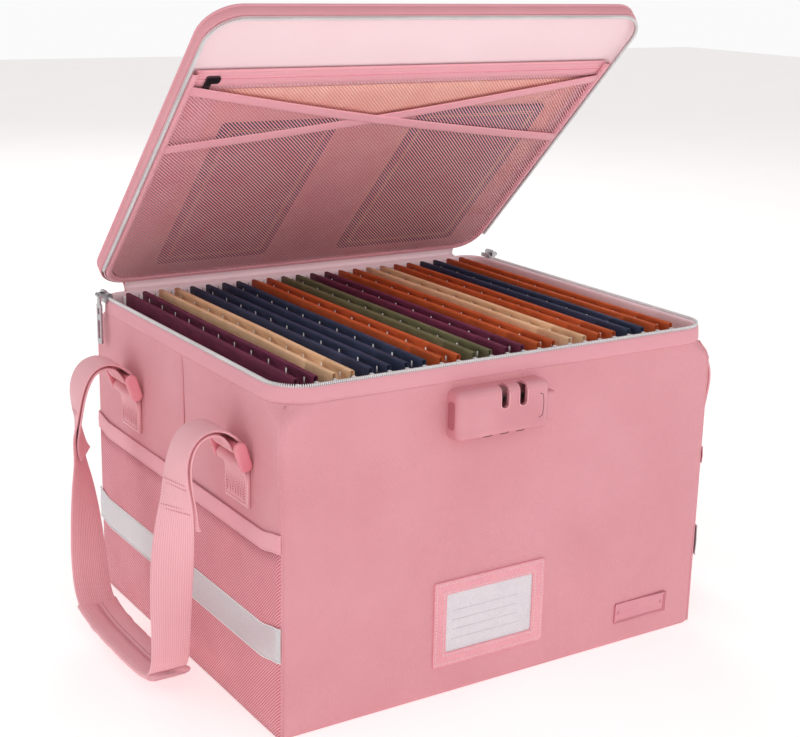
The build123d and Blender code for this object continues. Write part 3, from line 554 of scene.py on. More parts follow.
def curve_through(points, per_span):
    """A smooth line through points, by Catmull and Rom's rule."""
    points = [Vector(point) for point in points]
    last = len(points) - 1
    result = []
    for index in range(last):
        a, b = points[max(index - 1, 0)], points[index]
        c, d = points[index + 1], points[min(index + 2, last)]
        for step in range(per_span):
            t = step / per_span
            result.append(0.5 * ((2 * b) + (c - a) * t + (2 * a - 5 * b + 4 * c - d) * t * t
                                 + (3 * b - a - 3 * c + d) * t ** 3))
    return result + [points[-1]]


def tangents(path, closed=False):
    """The direction of a path at each of its points."""
    count = len(path)
    result = []
    for index in range(count):
        before = path[index - 1] if closed or index else path[0]
        after = path[(index + 1) % count] if closed or index < count - 1 else path[-1]
        result.append((after - before).normalized())
    return result


def opened(ring):
    """The points of a ring that has a gap, starting just after the gap."""
    start = max(range(len(ring)), key=lambda k: (ring[k] - ring[k - 1]).length)
    return ring[start:] + ring[:start]


def tube(name, path, radius, sides=8, closed=False):
    """A round piping or cord along a path."""
    ways = tangents(path, closed)
    across = ways[0].orthogonal().normalized()
    rows = []
    for point, way in zip(path, ways):
        across = (across - way * across.dot(way)).normalized()
        other = way.cross(across)
        rows.append([point + radius * (cos(tau * k / sides) * across + sin(tau * k / sides) * other)
                     for k in range(sides)])
    if closed:
        return loft(name, rows + [rows[0]])
    return loft(name, rows, low_cap=True, high_cap=True)


def ribbon(name, stations, width, thick):
    """A strap: stations are (point, direction across it); its section is a flat rounded bar."""
    ways = tangents([point for point, _ in stations])
    edge = 0.5 * thick
    section = []
    for side in (1, -1):
        section += [(side * (width / 2 - edge * (1 - sin(a))), side * thick / 2 * cos(a))
                    for a in (0.0, pi / 4, pi / 2, 3 * pi / 4, pi)]
        section += [(side * width / 6 * k, -side * thick / 2) for k in (1, -1)]
    rows = []
    for (point, side), way in zip(stations, ways):
        across = (side - way * side.dot(way)).normalized()
        normal = way.cross(across)
        rows.append([point + a * across + b * normal for a, b in section])
    return loft(name, rows, low_cap=True, high_cap=True)


def stitches(path, normal, pitch, length, width, closed=False):
    """Thread stitches along a path, as lens-shaped beads; their sizes are in millimetres."""
    pitch, length, width = pitch * MM, length * MM, width * MM
    shoulder, sunk = 0.22, 0.6
    vertices, faces = [], []
    if closed:
        path = path + [path[0]]
    travelled, target = 0.0, pitch / 2
    for start, finish in zip(path, path[1:]):
        span = (finish - start).length
        if span < 1e-9:
            continue
        way = (finish - start) / span
        out = normal(start) if callable(normal) else normal
        side = way.cross(out).normalized()
        while target <= travelled + span:
            middle = start + way * (target - travelled)
            base = len(vertices)
            vertices.append(middle - way * length / 2)
            for along in (-shoulder, shoulder):
                for a, b in ((1, 0), (0, 1), (-1, 0), (0, -sunk)):
                    vertices.append(middle + way * along * length
                                    + (side * a + out * b) * width / 2)
            vertices.append(middle + way * length / 2)
            for k in range(4):
                after = (k + 1) % 4
                faces += [(base, base + 1 + after, base + 1 + k),
                          (base + 1 + k, base + 1 + after, base + 5 + after, base + 5 + k),
                          (base + 9, base + 5 + k, base + 5 + after)]
            target += pitch
        travelled += span
    mesh = bpy.data.meshes.new("stitches")
    mesh.from_pydata([tuple(v) for v in vertices], [], faces)
    return smooth(mesh)


def slab(width, height, depth, radius, hole=None):
    """A flat plate with rounded corners, centred, from z = 0 to depth."""
    points = []
    for side_x, side_y, start in quarter_turns:
        for step in range(5):
            a = start + step / 4 * pi / 2
            points.append(Vector((side_x * (width / 2 - radius) + radius * cos(a),
                                  side_y * (height / 2 - radius) + radius * sin(a), 0)))
    top = [p + Vector((0, 0, depth)) for p in points]
    if hole is None:
        mesh = loft("slab", [points, top], low_cap=True, high_cap=True)
    else:
        inner = [Vector((p.x * hole[0] / width, p.y * hole[1] / height, 0)) for p in points]
        inner_top = [p + Vector((0, 0, depth)) for p in inner]
        mesh = loft("slab", [points, top, inner_top, inner, points])
    mesh.polygons.foreach_set("use_smooth", [False] * len(mesh.polygons))
    return mesh


def wobble(point, size, amount, seed=0.0):
    """A smooth unevenness, the same on every run."""
    return amount * noise.noise(Vector(point) / size + Vector((seed, 2 * seed, 0)))


def ease(value):
    """A smooth step from 0 to 1."""
    value = min(max(value, 0.0), 1.0)
    return value * value * (3 - 2 * value)


make_camera()
make_studio()


# ---------------------------------------------------------------- the body's cloth shell
def body_radius(height):
    """The seamed corners open out into the rim's round ones just below the band."""
    return body_r - 3 * MM + (rim_r - body_r + 3 * MM) * ease((height - 226 * MM) / (16 * MM))


def crease(point, outward):
    """How far the shell stands off its plane: slack cloth, and the side walls' fold."""
    slack = wobble(point, 90 * MM, 0.9 * MM) + wobble(point, 25 * MM, 0.2 * MM, 4)
    if abs(outward.x) > 0.9:
        slack -= 1.7 * MM * max(0.0, 1 - abs(point.y - fold_y) / (2.2 * MM)) ** 0.8
    return slack - 0.5 * MM


def make_shell():
    """The cloth shell: a turned-in foot, then rows up to the band."""
    steps = (64, 61)
    rows = [outline(inset * MM, body_r, z * MM, None, steps)
            for inset, z in ((2.4, 0.6), (0.7, 0.9))]
    for z in (2, 4, 8, 20, 40, 65, 90, 115, 140, 165, 190, 210, 222, 228, 232, 236, 239, 240.6):
        rows.append(outline(0, body_radius(z * MM), z * MM, crease, steps))
    piece("body_shell", loft("body_shell", rows), "shell_fabric", "box", thick=1.0 * MM,
          replaces=["front_cover", "back_cover", "left_cover", "right_cover"])


def make_boards():
    """The stiff boards between the shell and the lining, as one sleeve."""
    inset = 3.6 * MM
    rows = [outline(inset, max(body_radius(z * MM) - inset, 2 * MM), z * MM)
            for z in (4, 80, 160, 210, 222, 228, 232, 236, 238.5)]
    piece("wall_boards", loft("boards", rows), "fire_board", "box", thick=2.0 * MM,
          replaces=["front_board", "back_board", "side_boards"])


def make_fold_lines():
    """The side walls' fold shows as a fine raised line above the pockets."""
    parts = []
    for side in (-1, 1):
        path = [Vector((side * (half_l - 0.5 * MM), fold_y, z * MM)) for z in (148, 180, 210, 239)]
        parts.append(tube("fold", path, 0.8 * MM, 6))
    piece("fold_lines", join("folds", parts), "shell_fabric", "box")


def make_corner_seams():
    """A narrow welt stands up along each seamed corner."""
    parts = []
    for side_x in (-1, 1):
        for side_y in (-1, 1):
            path = []
            for z in (2, 30, 80, 130, 180, 215, 226, 231, 235, 238.5):
                reach = body_radius(z * MM) * (1 - sqrt(0.5)) + 0.1 * MM
                path.append(Vector((side_x * (half_l - reach), side_y * (half_d - reach), z * MM)))
            parts.append(tube("welt", path, 1.1 * MM))
    piece("corner_welts", join("corner_welts", parts), "shell_fabric", "box")


def make_rim_band():
    """The band round the rim: a folded strip that stands a little proud of the panels."""
    profile = ((239.6, 0.9), (239.9, -0.35), (241, -0.75), (246, -0.5), (249.8, -0.15),
               (250.9, 0.1), (251.1, 1.0), (249.5, 1.3))
    rows = [outline(inset * MM, rim_r, z * MM,
                    lambda p, n: wobble(p, 60 * MM, 0.25 * MM, 7)) for z, inset in profile]
    piece("rim_cloth_band", loft("rim_band", rows), "band_fabric", "box", replaces=["rim_band"])
    seam = outline(-0.7 * MM, rim_r, 241.6 * MM)
    row = stitches(seam, lambda p: (p - Vector((0, 0, p.z))).normalized(), 2.6, 1.8, 0.35, True)
    piece("rim_band_stitches", row, "band_fabric", "box", finish=seam_thread)


# ---------------------------------------------------------------- zipper chains
def tooth():
    """One tooth's points (along the path, outwards, share of its height) and faces."""
    deep, wide, head = 1.0 * MM, 0.85 * MM, 0.65 * MM
    profile = ((0.0, wide * 0.8), (0.25, wide), (0.9998, head), (1.0, head * 0.6))
    section = ((-1, 1), (-0.6, -1), (0.6, -1), (1, 1), (0.6, 1), (-0.6, 1))
    vertices = [(a * width / 2, b * deep, z) for z, width in profile for a, b in section]
    count = len(section)
    faces = []
    for row in range(len(profile) - 1):
        for k in range(count):
            after = (k + 1) % count
            faces.append((row * count + k, row * count + after,
                          (row + 1) * count + after, (row + 1) * count + k))
    faces.append(tuple(range((len(profile) - 1) * count, len(profile) * count)))
    faces.append(tuple(reversed(range(count))))
    return vertices, faces


def make_chain(low, high):
    """Zipper teeth round the outline, from one hinge corner to the other."""
    inset, pitch = 1.4 * MM, 1.55 * MM
    path = outline(inset, rim_r, straight=(80, 66), bend=16)
    tooth_points, tooth_faces = tooth()
    vertices, faces = [], []
    travelled = target = 0.0
    points = path + [path[0]]
    for start, finish in zip(points, points[1:]):
        way = finish - start
        span = way.length
        way.normalize()
        out = Vector((way.y, -way.x, 0))
        while target <= travelled + span:
            middle = start + way * (target - travelled)
            target += pitch
            if middle.y > zip_end_y:
                continue
            base = len(vertices)
            for x, y, z in tooth_points:
                vertices.append(middle + way * x + out * y + Vector((0, 0, low + z * (high - low))))
            faces += [tuple(base + index for index in face) for face in tooth_faces]
        travelled += span
    mesh = bpy.data.meshes.new("teeth")
    mesh.from_pydata([tuple(v) for v in vertices], [], faces)
    return smooth(mesh)


def make_zippers():
    """Both halves of the zipper, each with its teeth and the corded edges of its tape."""
    teeth_low, teeth_high = (corner.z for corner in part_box("rim_zipper_teeth"))
    piece("rim_chain", make_chain(teeth_low, teeth_high), "zip_teeth", "box",
          replaces=["rim_zipper_teeth"])
    gap = rim_z - teeth_high
    lid_chain = make_chain(rim_z + gap, rim_z + gap + teeth_high - teeth_low)
    lid_chain.transform(Matrix.Translation((0, -hinge_y, -rim_z)))
    on_lid("lid_chain", lid_chain, "zip_teeth", replaces=["lid_zipper_teeth"])
    for name, body, z, middle, place in (
        ("rim", "box", teeth_low - 0.1 * MM, Vector(), None),
        ("lid", "lid", gap + teeth_high - teeth_low + 0.1 * MM, lid_middle, lid_frame),
    ):
        parts = []
        for inset in (0.3, 2.5):
            ring = [p for p in outline(inset * MM, rim_r, z) if p.y < zip_end_y]
            parts.append(tube("cord", [p + middle for p in opened(ring)], 0.35 * MM, 6))
        piece(f"{name}_tape_edges", join("edges", parts), "zip_tape", body, place)


# ---------------------------------------------------------------- inside of the body
def make_lining():
    """Loose fabric over the boards, rolled over at the top inside the zipper."""
    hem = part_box("inner_lining")[1].z
    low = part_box("inner_lining")[0].z + 0.9 * MM
    corner = 21 * MM

    def slack(p, n):
        return -wobble((p.x, p.y, p.z * 0.4), 30 * MM, 0.35 * MM, 9)

    profile = [(2.7 * MM, hem - 1.0 * MM), (3.3 * MM, hem - 0.1 * MM), (4.6 * MM, hem),
               (5.8 * MM, hem - 0.5 * MM), (6.3 * MM, hem - 1.8 * MM), (6.2 * MM, hem - 6 * MM)]
    profile += [(6.1 * MM, z * MM) for z in (236, 220, 190, 150, 100, 50, 12)]
    profile += [(6.8 * MM, low + 0.5 * MM), (9 * MM, low)]
    rows = [outline(inset, corner, z, slack if z < 240 * MM else None) for inset, z in profile]
    piece("lining_cloth", loft("lining", rows, high_cap=True), "lining", "box",
          replaces=["inner_lining"])
    seam = outline(6.0 * MM, corner, hem - 5.2 * MM)
    row = stitches(seam, lambda p: (Vector((0, 0, p.z)) - p).normalized(), 2.8, 2.0, 0.4, True)
    piece("lining_stitches", row, "lining", "box", finish=seam_thread)


# ---------------------------------------------------------------- pockets on the sides
def side_run(side, inset, height):
    """Points along a side wall, from its front corner to its back one."""
    turn = body_r - 2 * MM
    arcs = []
    for end, shares in ((-1, (1, 0.75, 0.5, 0.25, 0)), (1, (0, 0.25, 0.5, 0.75, 1))):
        arcs.append([Vector((side * (half_l - inset - turn + turn * cos(share * pi / 4)),
                             end * (half_d - inset - turn + turn * sin(share * pi / 4)), height))
                     for share in shares])
    low, high = arcs[0][-1].y, arcs[1][0].y
    steps = 60
    middle = [Vector((side * (half_l - inset), low + (high - low) * k / steps, height))
              for k in range(1, steps)]
    return arcs[0] + middle + arcs[1]


def rise(point):
    """How much a strip sewn round a side lifts as it reaches the corners."""
    return 4 * MM * ease((abs(point.y) - (half_d - 26 * MM)) / (24 * MM))


def bent(side, proud, height):
    """A line round a side wall, this far off it in millimetres, lifted at the corners."""
    return [p + Vector((0, 0, rise(p))) for p in side_run(side, proud * MM, height)]


def make_side_pockets():
    """A net on each side wall, its binding and the reflective strip above it."""
    net_low, net_high = (corner.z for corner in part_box("pocket_mesh_panels"))
    for side, word in ((-1, "left"), (1, "right")):
        rows = []
        for k in range(15):
            z = net_low + (net_high - net_low) * k / 14
            share = (z - net_low) / (net_high - net_low)
            row = []
            for p in side_run(side, -0.7 * MM, z):
                flat = ease((half_d - abs(p.y)) / (30 * MM))
                lift = flat * (1.0 * MM * sin(pi * share) + wobble(p, 50 * MM, 0.5 * MM, 3))
                row.append(p + Vector((side * lift, 0, rise(p) * share ** 3)))
            rows.append(row)
        net = piece(f"{word}_pocket_net", loft("net", rows, around=False), "mesh", "box",
                    thick=0.5 * MM, replaces=["pocket_mesh_panels"] if side < 0 else [])
        for slot, hidden, shares, proud, seams, finish in (
            ("binding", "pocket_bindings", (0, 0.08, 0.5, 0.92, 1), 1.5, ((0, 1.3),), seam_thread),
            ("reflective", "reflective_strips", (0, 0.06, 0.5, 0.94, 1), 1.9,
             ((0, 1.1), (1, -1.1)), white_thread),
        ):
            ends = [corner.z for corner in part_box(hidden)]
            rows = [bent(side, -proud - 0.35 * sin(pi * share),
                         ends[0] + (ends[1] - ends[0]) * share) for share in shares]
            piece(f"{word}_{slot}", loft(slot, rows, around=False), slot, "box", thick=0.6 * MM,
                  replaces=[hidden] if side < 0 else [])
            lines = [stitches(bent(side, -proud - 0.55, ends[end] + shift * MM),
                              Vector((side, 0, 0)), 2.2, 1.5, 0.35) for end, shift in seams]
            piece(f"{word}_{slot}_stitches", join("rows", lines), slot, "box", finish=finish)
            if slot == "reflective":
                edges = [tube("edge", bent(side, -proud - 0.3, z), 0.4 * MM, 6) for z in ends]
                piece(f"{word}_reflective_edges", join("edges", edges), slot, "box", finish=finish)
            else:
                edge = tube("edge", bent(side, -proud + 0.1, ends[1]), 0.75 * MM)
                piece(f"{word}_binding_edge", edge, slot, "box")


# ---------------------------------------------------------------- handles
ring_low = Vector((half_l + 5.8 * MM, 0, tabs_high.z - 4.4 * MM))
ring_lean = radians(18)
ring_high = ring_low + 13 * MM * Vector((sin(ring_lean), 0, cos(ring_lean)))
tab_pitch = 186 * MM
tab_w = 34 * MM
mirror_x = Matrix.Diagonal((-1, 1, 1, 1))


def mirrored(mesh):
    """The same mesh on the other side, with its faces turned back outwards."""
    twin = mesh.copy()
    twin.transform(mirror_x)
    twin.flip_normals()
    return twin


def both_sides(name, mesh, slot, body, replaces=None, **options):
    """A piece on the left side and its mirror image on the right."""
    right = mirrored(mesh)
    for word, each in (("left", mesh), ("right", right)):
        shown = replaces and ("{}" in replaces or word == "left")
        piece(f"{word}_{name}", each, slot, body.format(word),
              replaces=[replaces.format(word)] if shown else [], **options)


def drawn_in(row):
    """A ring of points drawn half way to its own middle."""
    middle = sum(row, Vector()) / len(row)
    return [middle + (p - middle) * 0.5 for p in row]


def make_rings():
    """Moulded loops: two bars joined by rounded cheeks."""
    parts = []
    for end in (-1, 1):
        y_tab = fold_y + end * tab_pitch / 2
        for bar in (ring_low, ring_high):
            path = [Vector((-bar.x, y_tab + k * 18 * MM, bar.z)) for k in (-1, -0.5, 0, 0.5, 1)]
            parts.append(tube("bar", path, 2.5 * MM, 14))
        middle = (ring_low + ring_high) / 2
        for cheek in (-1, 1):
            cheek_y = y_tab + cheek * 19.5 * MM
            rows = []
            for depth, inset in ((-2.0, 1.5), (-1.8, 0.6), (-1.1, 0.1), (0, 0), (1.1, 0.1),
                                 (1.8, 0.6), (2.0, 1.5)):
                r = 4.8 * MM - inset * MM
                row = []
                for k in range(28):
                    a = tau * k / 28
                    centre = 6.5 * MM * (1 if sin(a) >= 0 else -1)
                    across, along = r * cos(a), r * sin(a) + centre
                    x = middle.x + across * cos(ring_lean) + along * sin(ring_lean)
                    z = middle.z - across * sin(ring_lean) + along * cos(ring_lean)
                    row.append(Vector((-x, cheek_y + depth * MM, z)))
                rows.append(row)
            rows = [drawn_in(rows[0]), *rows, drawn_in(rows[-1])]
            parts.append(loft("cheek", rows, low_cap=True, high_cap=True))
    both_sides("loops", join("loops", parts), "ring_plastic", "{}_rings", "{}_rings")


def make_tabs():
    """Webbing tabs folded round the rings' lower bars and box-stitched to the wall."""
    low = tabs_low.z
    face = -half_l - 1.0 * MM
    bar_x, bar_z, wrap = -ring_low.x, ring_low.z, 3.9 * MM
    top = bar_z - 9 * MM
    profile = [(face, low), (face, low + 12 * MM), (face - 0.2 * MM, top),
               (face - 1.0 * MM, bar_z - 2 * MM)]
    profile += [(bar_x + wrap * cos(radians(a)), bar_z + wrap * sin(radians(a)))
                for a in (30, 75, 120, 170, 220, 262)]
    profile += [(face - 2.6 * MM, top), (face - 1.9 * MM, low + 12 * MM),
                (face - 1.8 * MM, low + 1 * MM)]
    parts, rows, edges = [], [], []
    for end in (-1, 1):
        y = fold_y + end * tab_pitch / 2
        line = curve_through([(x, y, z) for x, z in profile], 4)
        parts.append(ribbon("tab", [(p, Vector((0, 1, 0))) for p in line],
                            tab_w - 1 * MM, 1.5 * MM))
        front = face - 2.75 * MM
        half = tab_w / 2 - 3.2 * MM
        box = [(y - half, low + 3.5 * MM), (y + half, low + 3.5 * MM), (y + half, top),
               (y - half, top), (y - half, low + 3.5 * MM)]
        path = [Vector((front, a, b)) for a, b in box]
        rows.append(stitches(path, Vector((-1, 0, 0)), 2.2, 1.7, 0.5))
        zig = [Vector((front, y - half + 2 * half * k / 14,
                       (low + 6 * MM) if k % 2 else top - 2.5 * MM)) for k in range(15)]
        rows.append(stitches(zig, Vector((-1, 0, 0)), 1.8, 1.4, 0.45))
        for side in (-1, 1):
            hem = [Vector((face - 1.4 * MM, y + side * (tab_w / 2 - 0.8 * MM), z))
                   for z in (low + 0.5 * MM, (low + bar_z) / 2, bar_z - 6 * MM)]
            edges.append(tube("hem", hem, 1.2 * MM))
    both_sides("ring_tabs", join("tabs", parts), "webbing", "box", "anchor_tabs")
    both_sides("ring_tab_stitches", join("rows", rows), "webbing", "box", finish=deep_thread)
    both_sides("ring_tab_hems", join("hems", edges), "webbing", "box")


def across_at(angle):
    """The direction across the strap, turned from along the wall by an angle in degrees."""
    return Vector((sin(radians(angle)), cos(radians(angle)), 0))


def stations_through(points):
    """Smooth stations from (x, y, z, angle across) rows in millimetres and degrees."""
    line = curve_through([Vector(p[:3]) * MM for p in points], 6)
    turns = curve_through([Vector((p[3], 0, 0)) for p in points], 6)
    return [(point, across_at(turn.x)) for point, turn in zip(line, turns)]


def arch(y, turn):
    """The strap over the ring and down: from the ring's bar to below the stitched overlap."""
    bar_x, bar_z = -ring_high.x / MM, ring_high.z / MM
    return [
        (bar_x + 3.6, y, bar_z - 0.5, 0), (bar_x + 2.6, y, bar_z + 3.4, 0),
        (bar_x - 2.5, y, bar_z + 8.2, 0), (bar_x - 9.5, y, bar_z + 12.3, 0),
        (bar_x - 18, y, bar_z + 13.6, 0), (bar_x - 27, y, bar_z + 10.4, 0),
        (bar_x - 33.5, y, bar_z + 2.5, 0), (bar_x - 37.2, y, bar_z - 9, turn * 3),
        (bar_x - 38.4, y, bar_z - 24, turn * 12), (bar_x - 38.4, y, bar_z - 42, turn * 26),
    ]


def make_handle():
    """The strap: two arches, twisting legs and the padded grip along the bottom."""
    y_front = (fold_y - tab_pitch / 2) / MM
    y_back = (fold_y + tab_pitch / 2) / MM
    bar_x, bar_z = -ring_high.x / MM, ring_high.z / MM
    front = arch(y_front, -1) + [
        (-238.4, y_front + 5, 140, -42), (-238.2, y_front + 10, 115, -62),
        (-238, y_front + 13.5, 86, -78), (-237.5, y_front + 16, 58, -88),
        (-237, y_front + 20, 38, -90), (-236.5, y_front + 30, 25.5, -90),
        (-236, y_front + 46, 20.5, -90), (-235.5, y_front + 70, 19, -90),
    ]
    back = arch(y_back, 1) + [
        (-238.4, y_back - 5, 140, 36), (-238.4, y_back - 9, 118, 54),
        (-238, y_back - 12, 90, 72), (-237.5, y_back - 14, 62, 86),
        (-237, y_back - 18, 40, 90), (-236.5, y_back - 28, 26.5, 90),
        (-236, y_back - 46, 20.5, 90), (-235.5, y_back - 72, 19, 90),
    ]
    middle = [(-235.3, (y_front + y_back) / 2, 18.8, -90)]
    whole = front + middle + [(x, y, z, a - 180) for x, y, z, a in reversed(back)]
    parts = [ribbon("strap", stations_through(whole), 29.5 * MM, 1.8 * MM)]
    # each end turns back round the ring's bar and lies inside the arch
    for y, turn in ((y_front, -1), (y_back, 1)):
        tail = [(bar_x + 3.6, y, bar_z - 0.5, 0), (bar_x + 1.5, y, bar_z - 3.4, 0),
                (bar_x - 2.2, y, bar_z - 3.2, 0), (bar_x - 5.2, y, bar_z + 1.8, 0),
                (bar_x - 10.5, y, bar_z + 8.0, 0), (bar_x - 18, y, bar_z + 10.2, 0),
                (bar_x - 26, y, bar_z + 7.2, 0), (bar_x - 31.2, y, bar_z, 0),
                (bar_x - 34.4, y, bar_z - 11, turn * 4), (bar_x - 35.6, y, bar_z - 26, turn * 13),
                (bar_x - 35.4, y, bar_z - 42, turn * 25),
                (bar_x - 34.4, y - turn * 2, bar_z - 54, turn * 33),
                (bar_x - 32.6, y - turn * 3, bar_z - 59, turn * 36)]
        parts.append(ribbon("tail", stations_through(tail), 29 * MM, 1.6 * MM))
    both_sides("strap", join("strap", parts), "webbing", "{}_handle", "{}_handle")
    make_strap_stitches(whole)
    make_grip(y_front + 24, y_back - 24)


def make_strap_stitches(whole):
    """Rows across the strap where its ends are sewn to it."""
    rows = []
    for x, y, z, angle in whole:
        if not 150 < z < 182 or x > -230:
            continue
        turned = angle + 180 if angle < -150 else angle
        side = across_at(turned)
        out = Vector((-cos(radians(turned)), sin(radians(turned)), 0))
        for drop in (-1.5, 1.5):
            start = Vector((x, y, z + drop)) * MM - side * 13 * MM + out * 1.0 * MM
            rows.append(stitches([start, start + side * 26 * MM], out, 2.2, 1.7, 0.5))
    both_sides("strap_stitches", join("rows", rows), "webbing", "{}_handle", finish=deep_thread)


def make_grip(low_y, high_y):
    """A sleeve of the same webbing wrapped round the strap, its edges meeting on top."""
    section = [(-0.6, 2.3), (-6, 2.9), (-12, 3.0), (-15.2, 2.0), (-16.4, 0), (-15.2, -2.1),
               (-12, -3.1), (-5, -3.3), (0, -3.3), (5, -3.3), (12, -3.1), (15.2, -2.1),
               (16.4, 0), (15.2, 2.0), (12, 3.0), (6, 2.9), (0.6, 2.3), (0, 1.4)]
    x, bottom, steps = -235.6, 19.6, 28
    spine = [(low_y + (high_y - low_y) * (k / steps), 6.5 * abs(2 * (k / steps) - 1) ** 3.2)
             for k in range(steps + 1)]
    rows = []
    for y, lift in spine:
        puff = 1 + 0.05 * wobble((y * MM, 0, 0), 9 * MM, 1.0, 2)
        rows.append([Vector((x + a * puff, y, bottom + lift + b * puff)) * MM
                     for a, b in section])
    both_sides("grip", loft("grip", rows, low_cap=True, high_cap=True), "webbing", "{}_handle")
    lines = []
    for offset in (-2.2, 2.2):
        path = [Vector((x + offset, y, bottom + 2.95 + lift)) * MM for y, lift in spine]
        lines.append(stitches(path, Vector((0, 0, 1)), 2.6, 2.0, 0.5))
    both_sides("grip_stitches", join("rows", lines), "webbing", "{}_handle", finish=deep_thread)


# ---------------------------------------------------------------- label holder, plate and lock
front_place = Matrix.Rotation(pi / 2, 4, "X")      # a plate's own z becomes -y


def on_front(x, z, proud):
    """Places a plate on the front wall, facing outwards."""
    return Matrix.Translation((x, -half_d - proud, z)) @ front_place


def make_label():
    """The label holder, its stitches and the blank ruled lines on its card."""
    low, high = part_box("label_frame")
    x, z = (low.x + high.x) / 2, (low.z + high.z) / 2
    wide, tall = high.x - low.x, high.z - low.z
    frame_mesh = slab(wide, tall, 1.9 * MM, 2.0 * MM, (78 * MM, 46 * MM))
    piece("label_holder", frame_mesh, "frame_leather", "box", on_front(x, z, -0.2 * MM),
          bevel=0.6 * MM, replaces=["label_frame"])
    rows = []
    for inset in (2.2 * MM, 8.6 * MM):
        half_w, half_h = wide / 2 - inset, tall / 2 - inset
        corners = [(-half_w, -half_h), (half_w, -half_h), (half_w, half_h), (-half_w, half_h)]
        path = [Vector((x + a, -half_d - 1.75 * MM, z + b)) for a, b in corners]
        rows.append(stitches(path, Vector((0, -1, 0)), 2.6, 1.8, 0.5, True))
    piece("label_holder_stitches", join("rows", rows), "frame_leather", "box", finish=white_thread)
    lines = []
    for k in range(4):
        bar = slab(60 * MM, 0.35 * MM, 0.1 * MM, 0.1 * MM)
        lines.append((bar, on_front(x - 3 * MM, z + (9 - 7.5 * k) * MM, 0.48 * MM)))
    piece("label_rules", join("rules", lines), "card", "box", finish=rule_ink)


def make_lock_trim():
    """Raised rims round the two slots in a lighter plastic as painted highlight, a panel on the
    housing's end coloured darker as painted shade, and dark lines of painted shade in the notches
    and round the seam of the button.
    """
    low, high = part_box("lock_housing")
    face = -half_d / MM
    rims = []
    for x in (-20, -4):
        path = [(x - 3.7, 233.2), (x - 3.7, 228), (x - 3.7, 222.2)]
        path += [(x + 3.7 * cos(radians(a)), 222.2 + 3.7 * sin(radians(a)))
                 for a in (205, 235, 270, 305, 335)]
        path += [(x + 3.7, 222.2), (x + 3.7, 228), (x + 3.7, 233.2)]
        line = [Vector((a, face - lock_face(z), z)) * MM for a, z in path]
        rims.append(tube("rim", line, 0.55 * MM))
    # the rims take the lighter plastic: painted highlight along their edges
    piece("lock_slot_rims", join("rims", rims), "lock_plastic", "box", finish=slot_rim_highlight)
    # a shallow panel on the housing's end, coloured darker as painted shade
    panel = slab(20 * MM, 7.5 * MM, 0.3 * MM, 2.6 * MM)
    turn = Matrix.Translation((low.x - 0.12 * MM, -half_d - 6.2 * MM, (low.z + high.z) / 2)) \
        @ Matrix.Rotation(-pi / 2, 4, "Y")
    piece("lock_end_shade_panel", panel, "lock_plastic", "box", turn, finish=end_shade)
    # dark lines drawn in the notches and round the button: painted shade
    edges = []
    for x in (-31, -16.5, -2.5):
        path = [Vector((x + a, face - 9.5 - 5 * cos(radians(b)), 204 - 5 * sin(radians(b)))) * MM
                for a, b in ((-5, 58), (0, 55), (1.5, 42))]
        edges.append(tube("crevice_shade", path, 0.45 * MM))
    button = [Vector((x, face - 14.5, z)) * MM for x, z in
              ((10.5, 226), (13.5, 225), (14.3, 221), (14.5, 217), (14.3, 213), (13.5, 209),
               (10.5, 208))]
    edges.append(tube("outline", button, 0.22 * MM, 6))
    piece("lock_shadow_lines", join("lines", edges), "lock_plastic", "box", finish=crevice_shade)


def lock_face(z):
    """How far the housing's front face stands off the wall at a height, in millimetres."""
    proud, top, turn = 14.5, 235, 5
    over = z - (top - turn)
    return proud if over <= 0 else proud - turn + sqrt(max(turn * turn - over * over, 0))


def make_plate_rivets():
    """Domed rivets at the name plate's ends, and its raised rim."""
    low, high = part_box("name_plate")
    z = (low.z + high.z) / 2
    parts = []
    for x in (low.x + 5 * MM, high.x - 5 * MM):
        rows = []
        for share in (0, 0.5, 0.85, 1):
            r = 1.3 * MM * sqrt(1 - 0.94 * share * share)
            rows.append([Vector((r * cos(tau * k / 14), r * sin(tau * k / 14), 0.7 * MM * share))
                         for k in range(14)])
        parts.append((loft("rivet", rows, low_cap=True, high_cap=True), on_front(x, z, 0.8 * MM)))
    piece("name_plate_rivets", join("rivets", parts), "plate_metal", "box")
    border = 0.7 * MM
    corners = [(low.x + border, low.z + border), (high.x - border, low.z + border),
               (high.x - border, high.z - border), (low.x + border, high.z - border)]
    path = [Vector((x, low.y - 0.1 * MM, z)) for x, z in corners]
    piece("name_plate_rim", tube("rim", path, 0.5 * MM, closed=True), "plate_metal", "box")


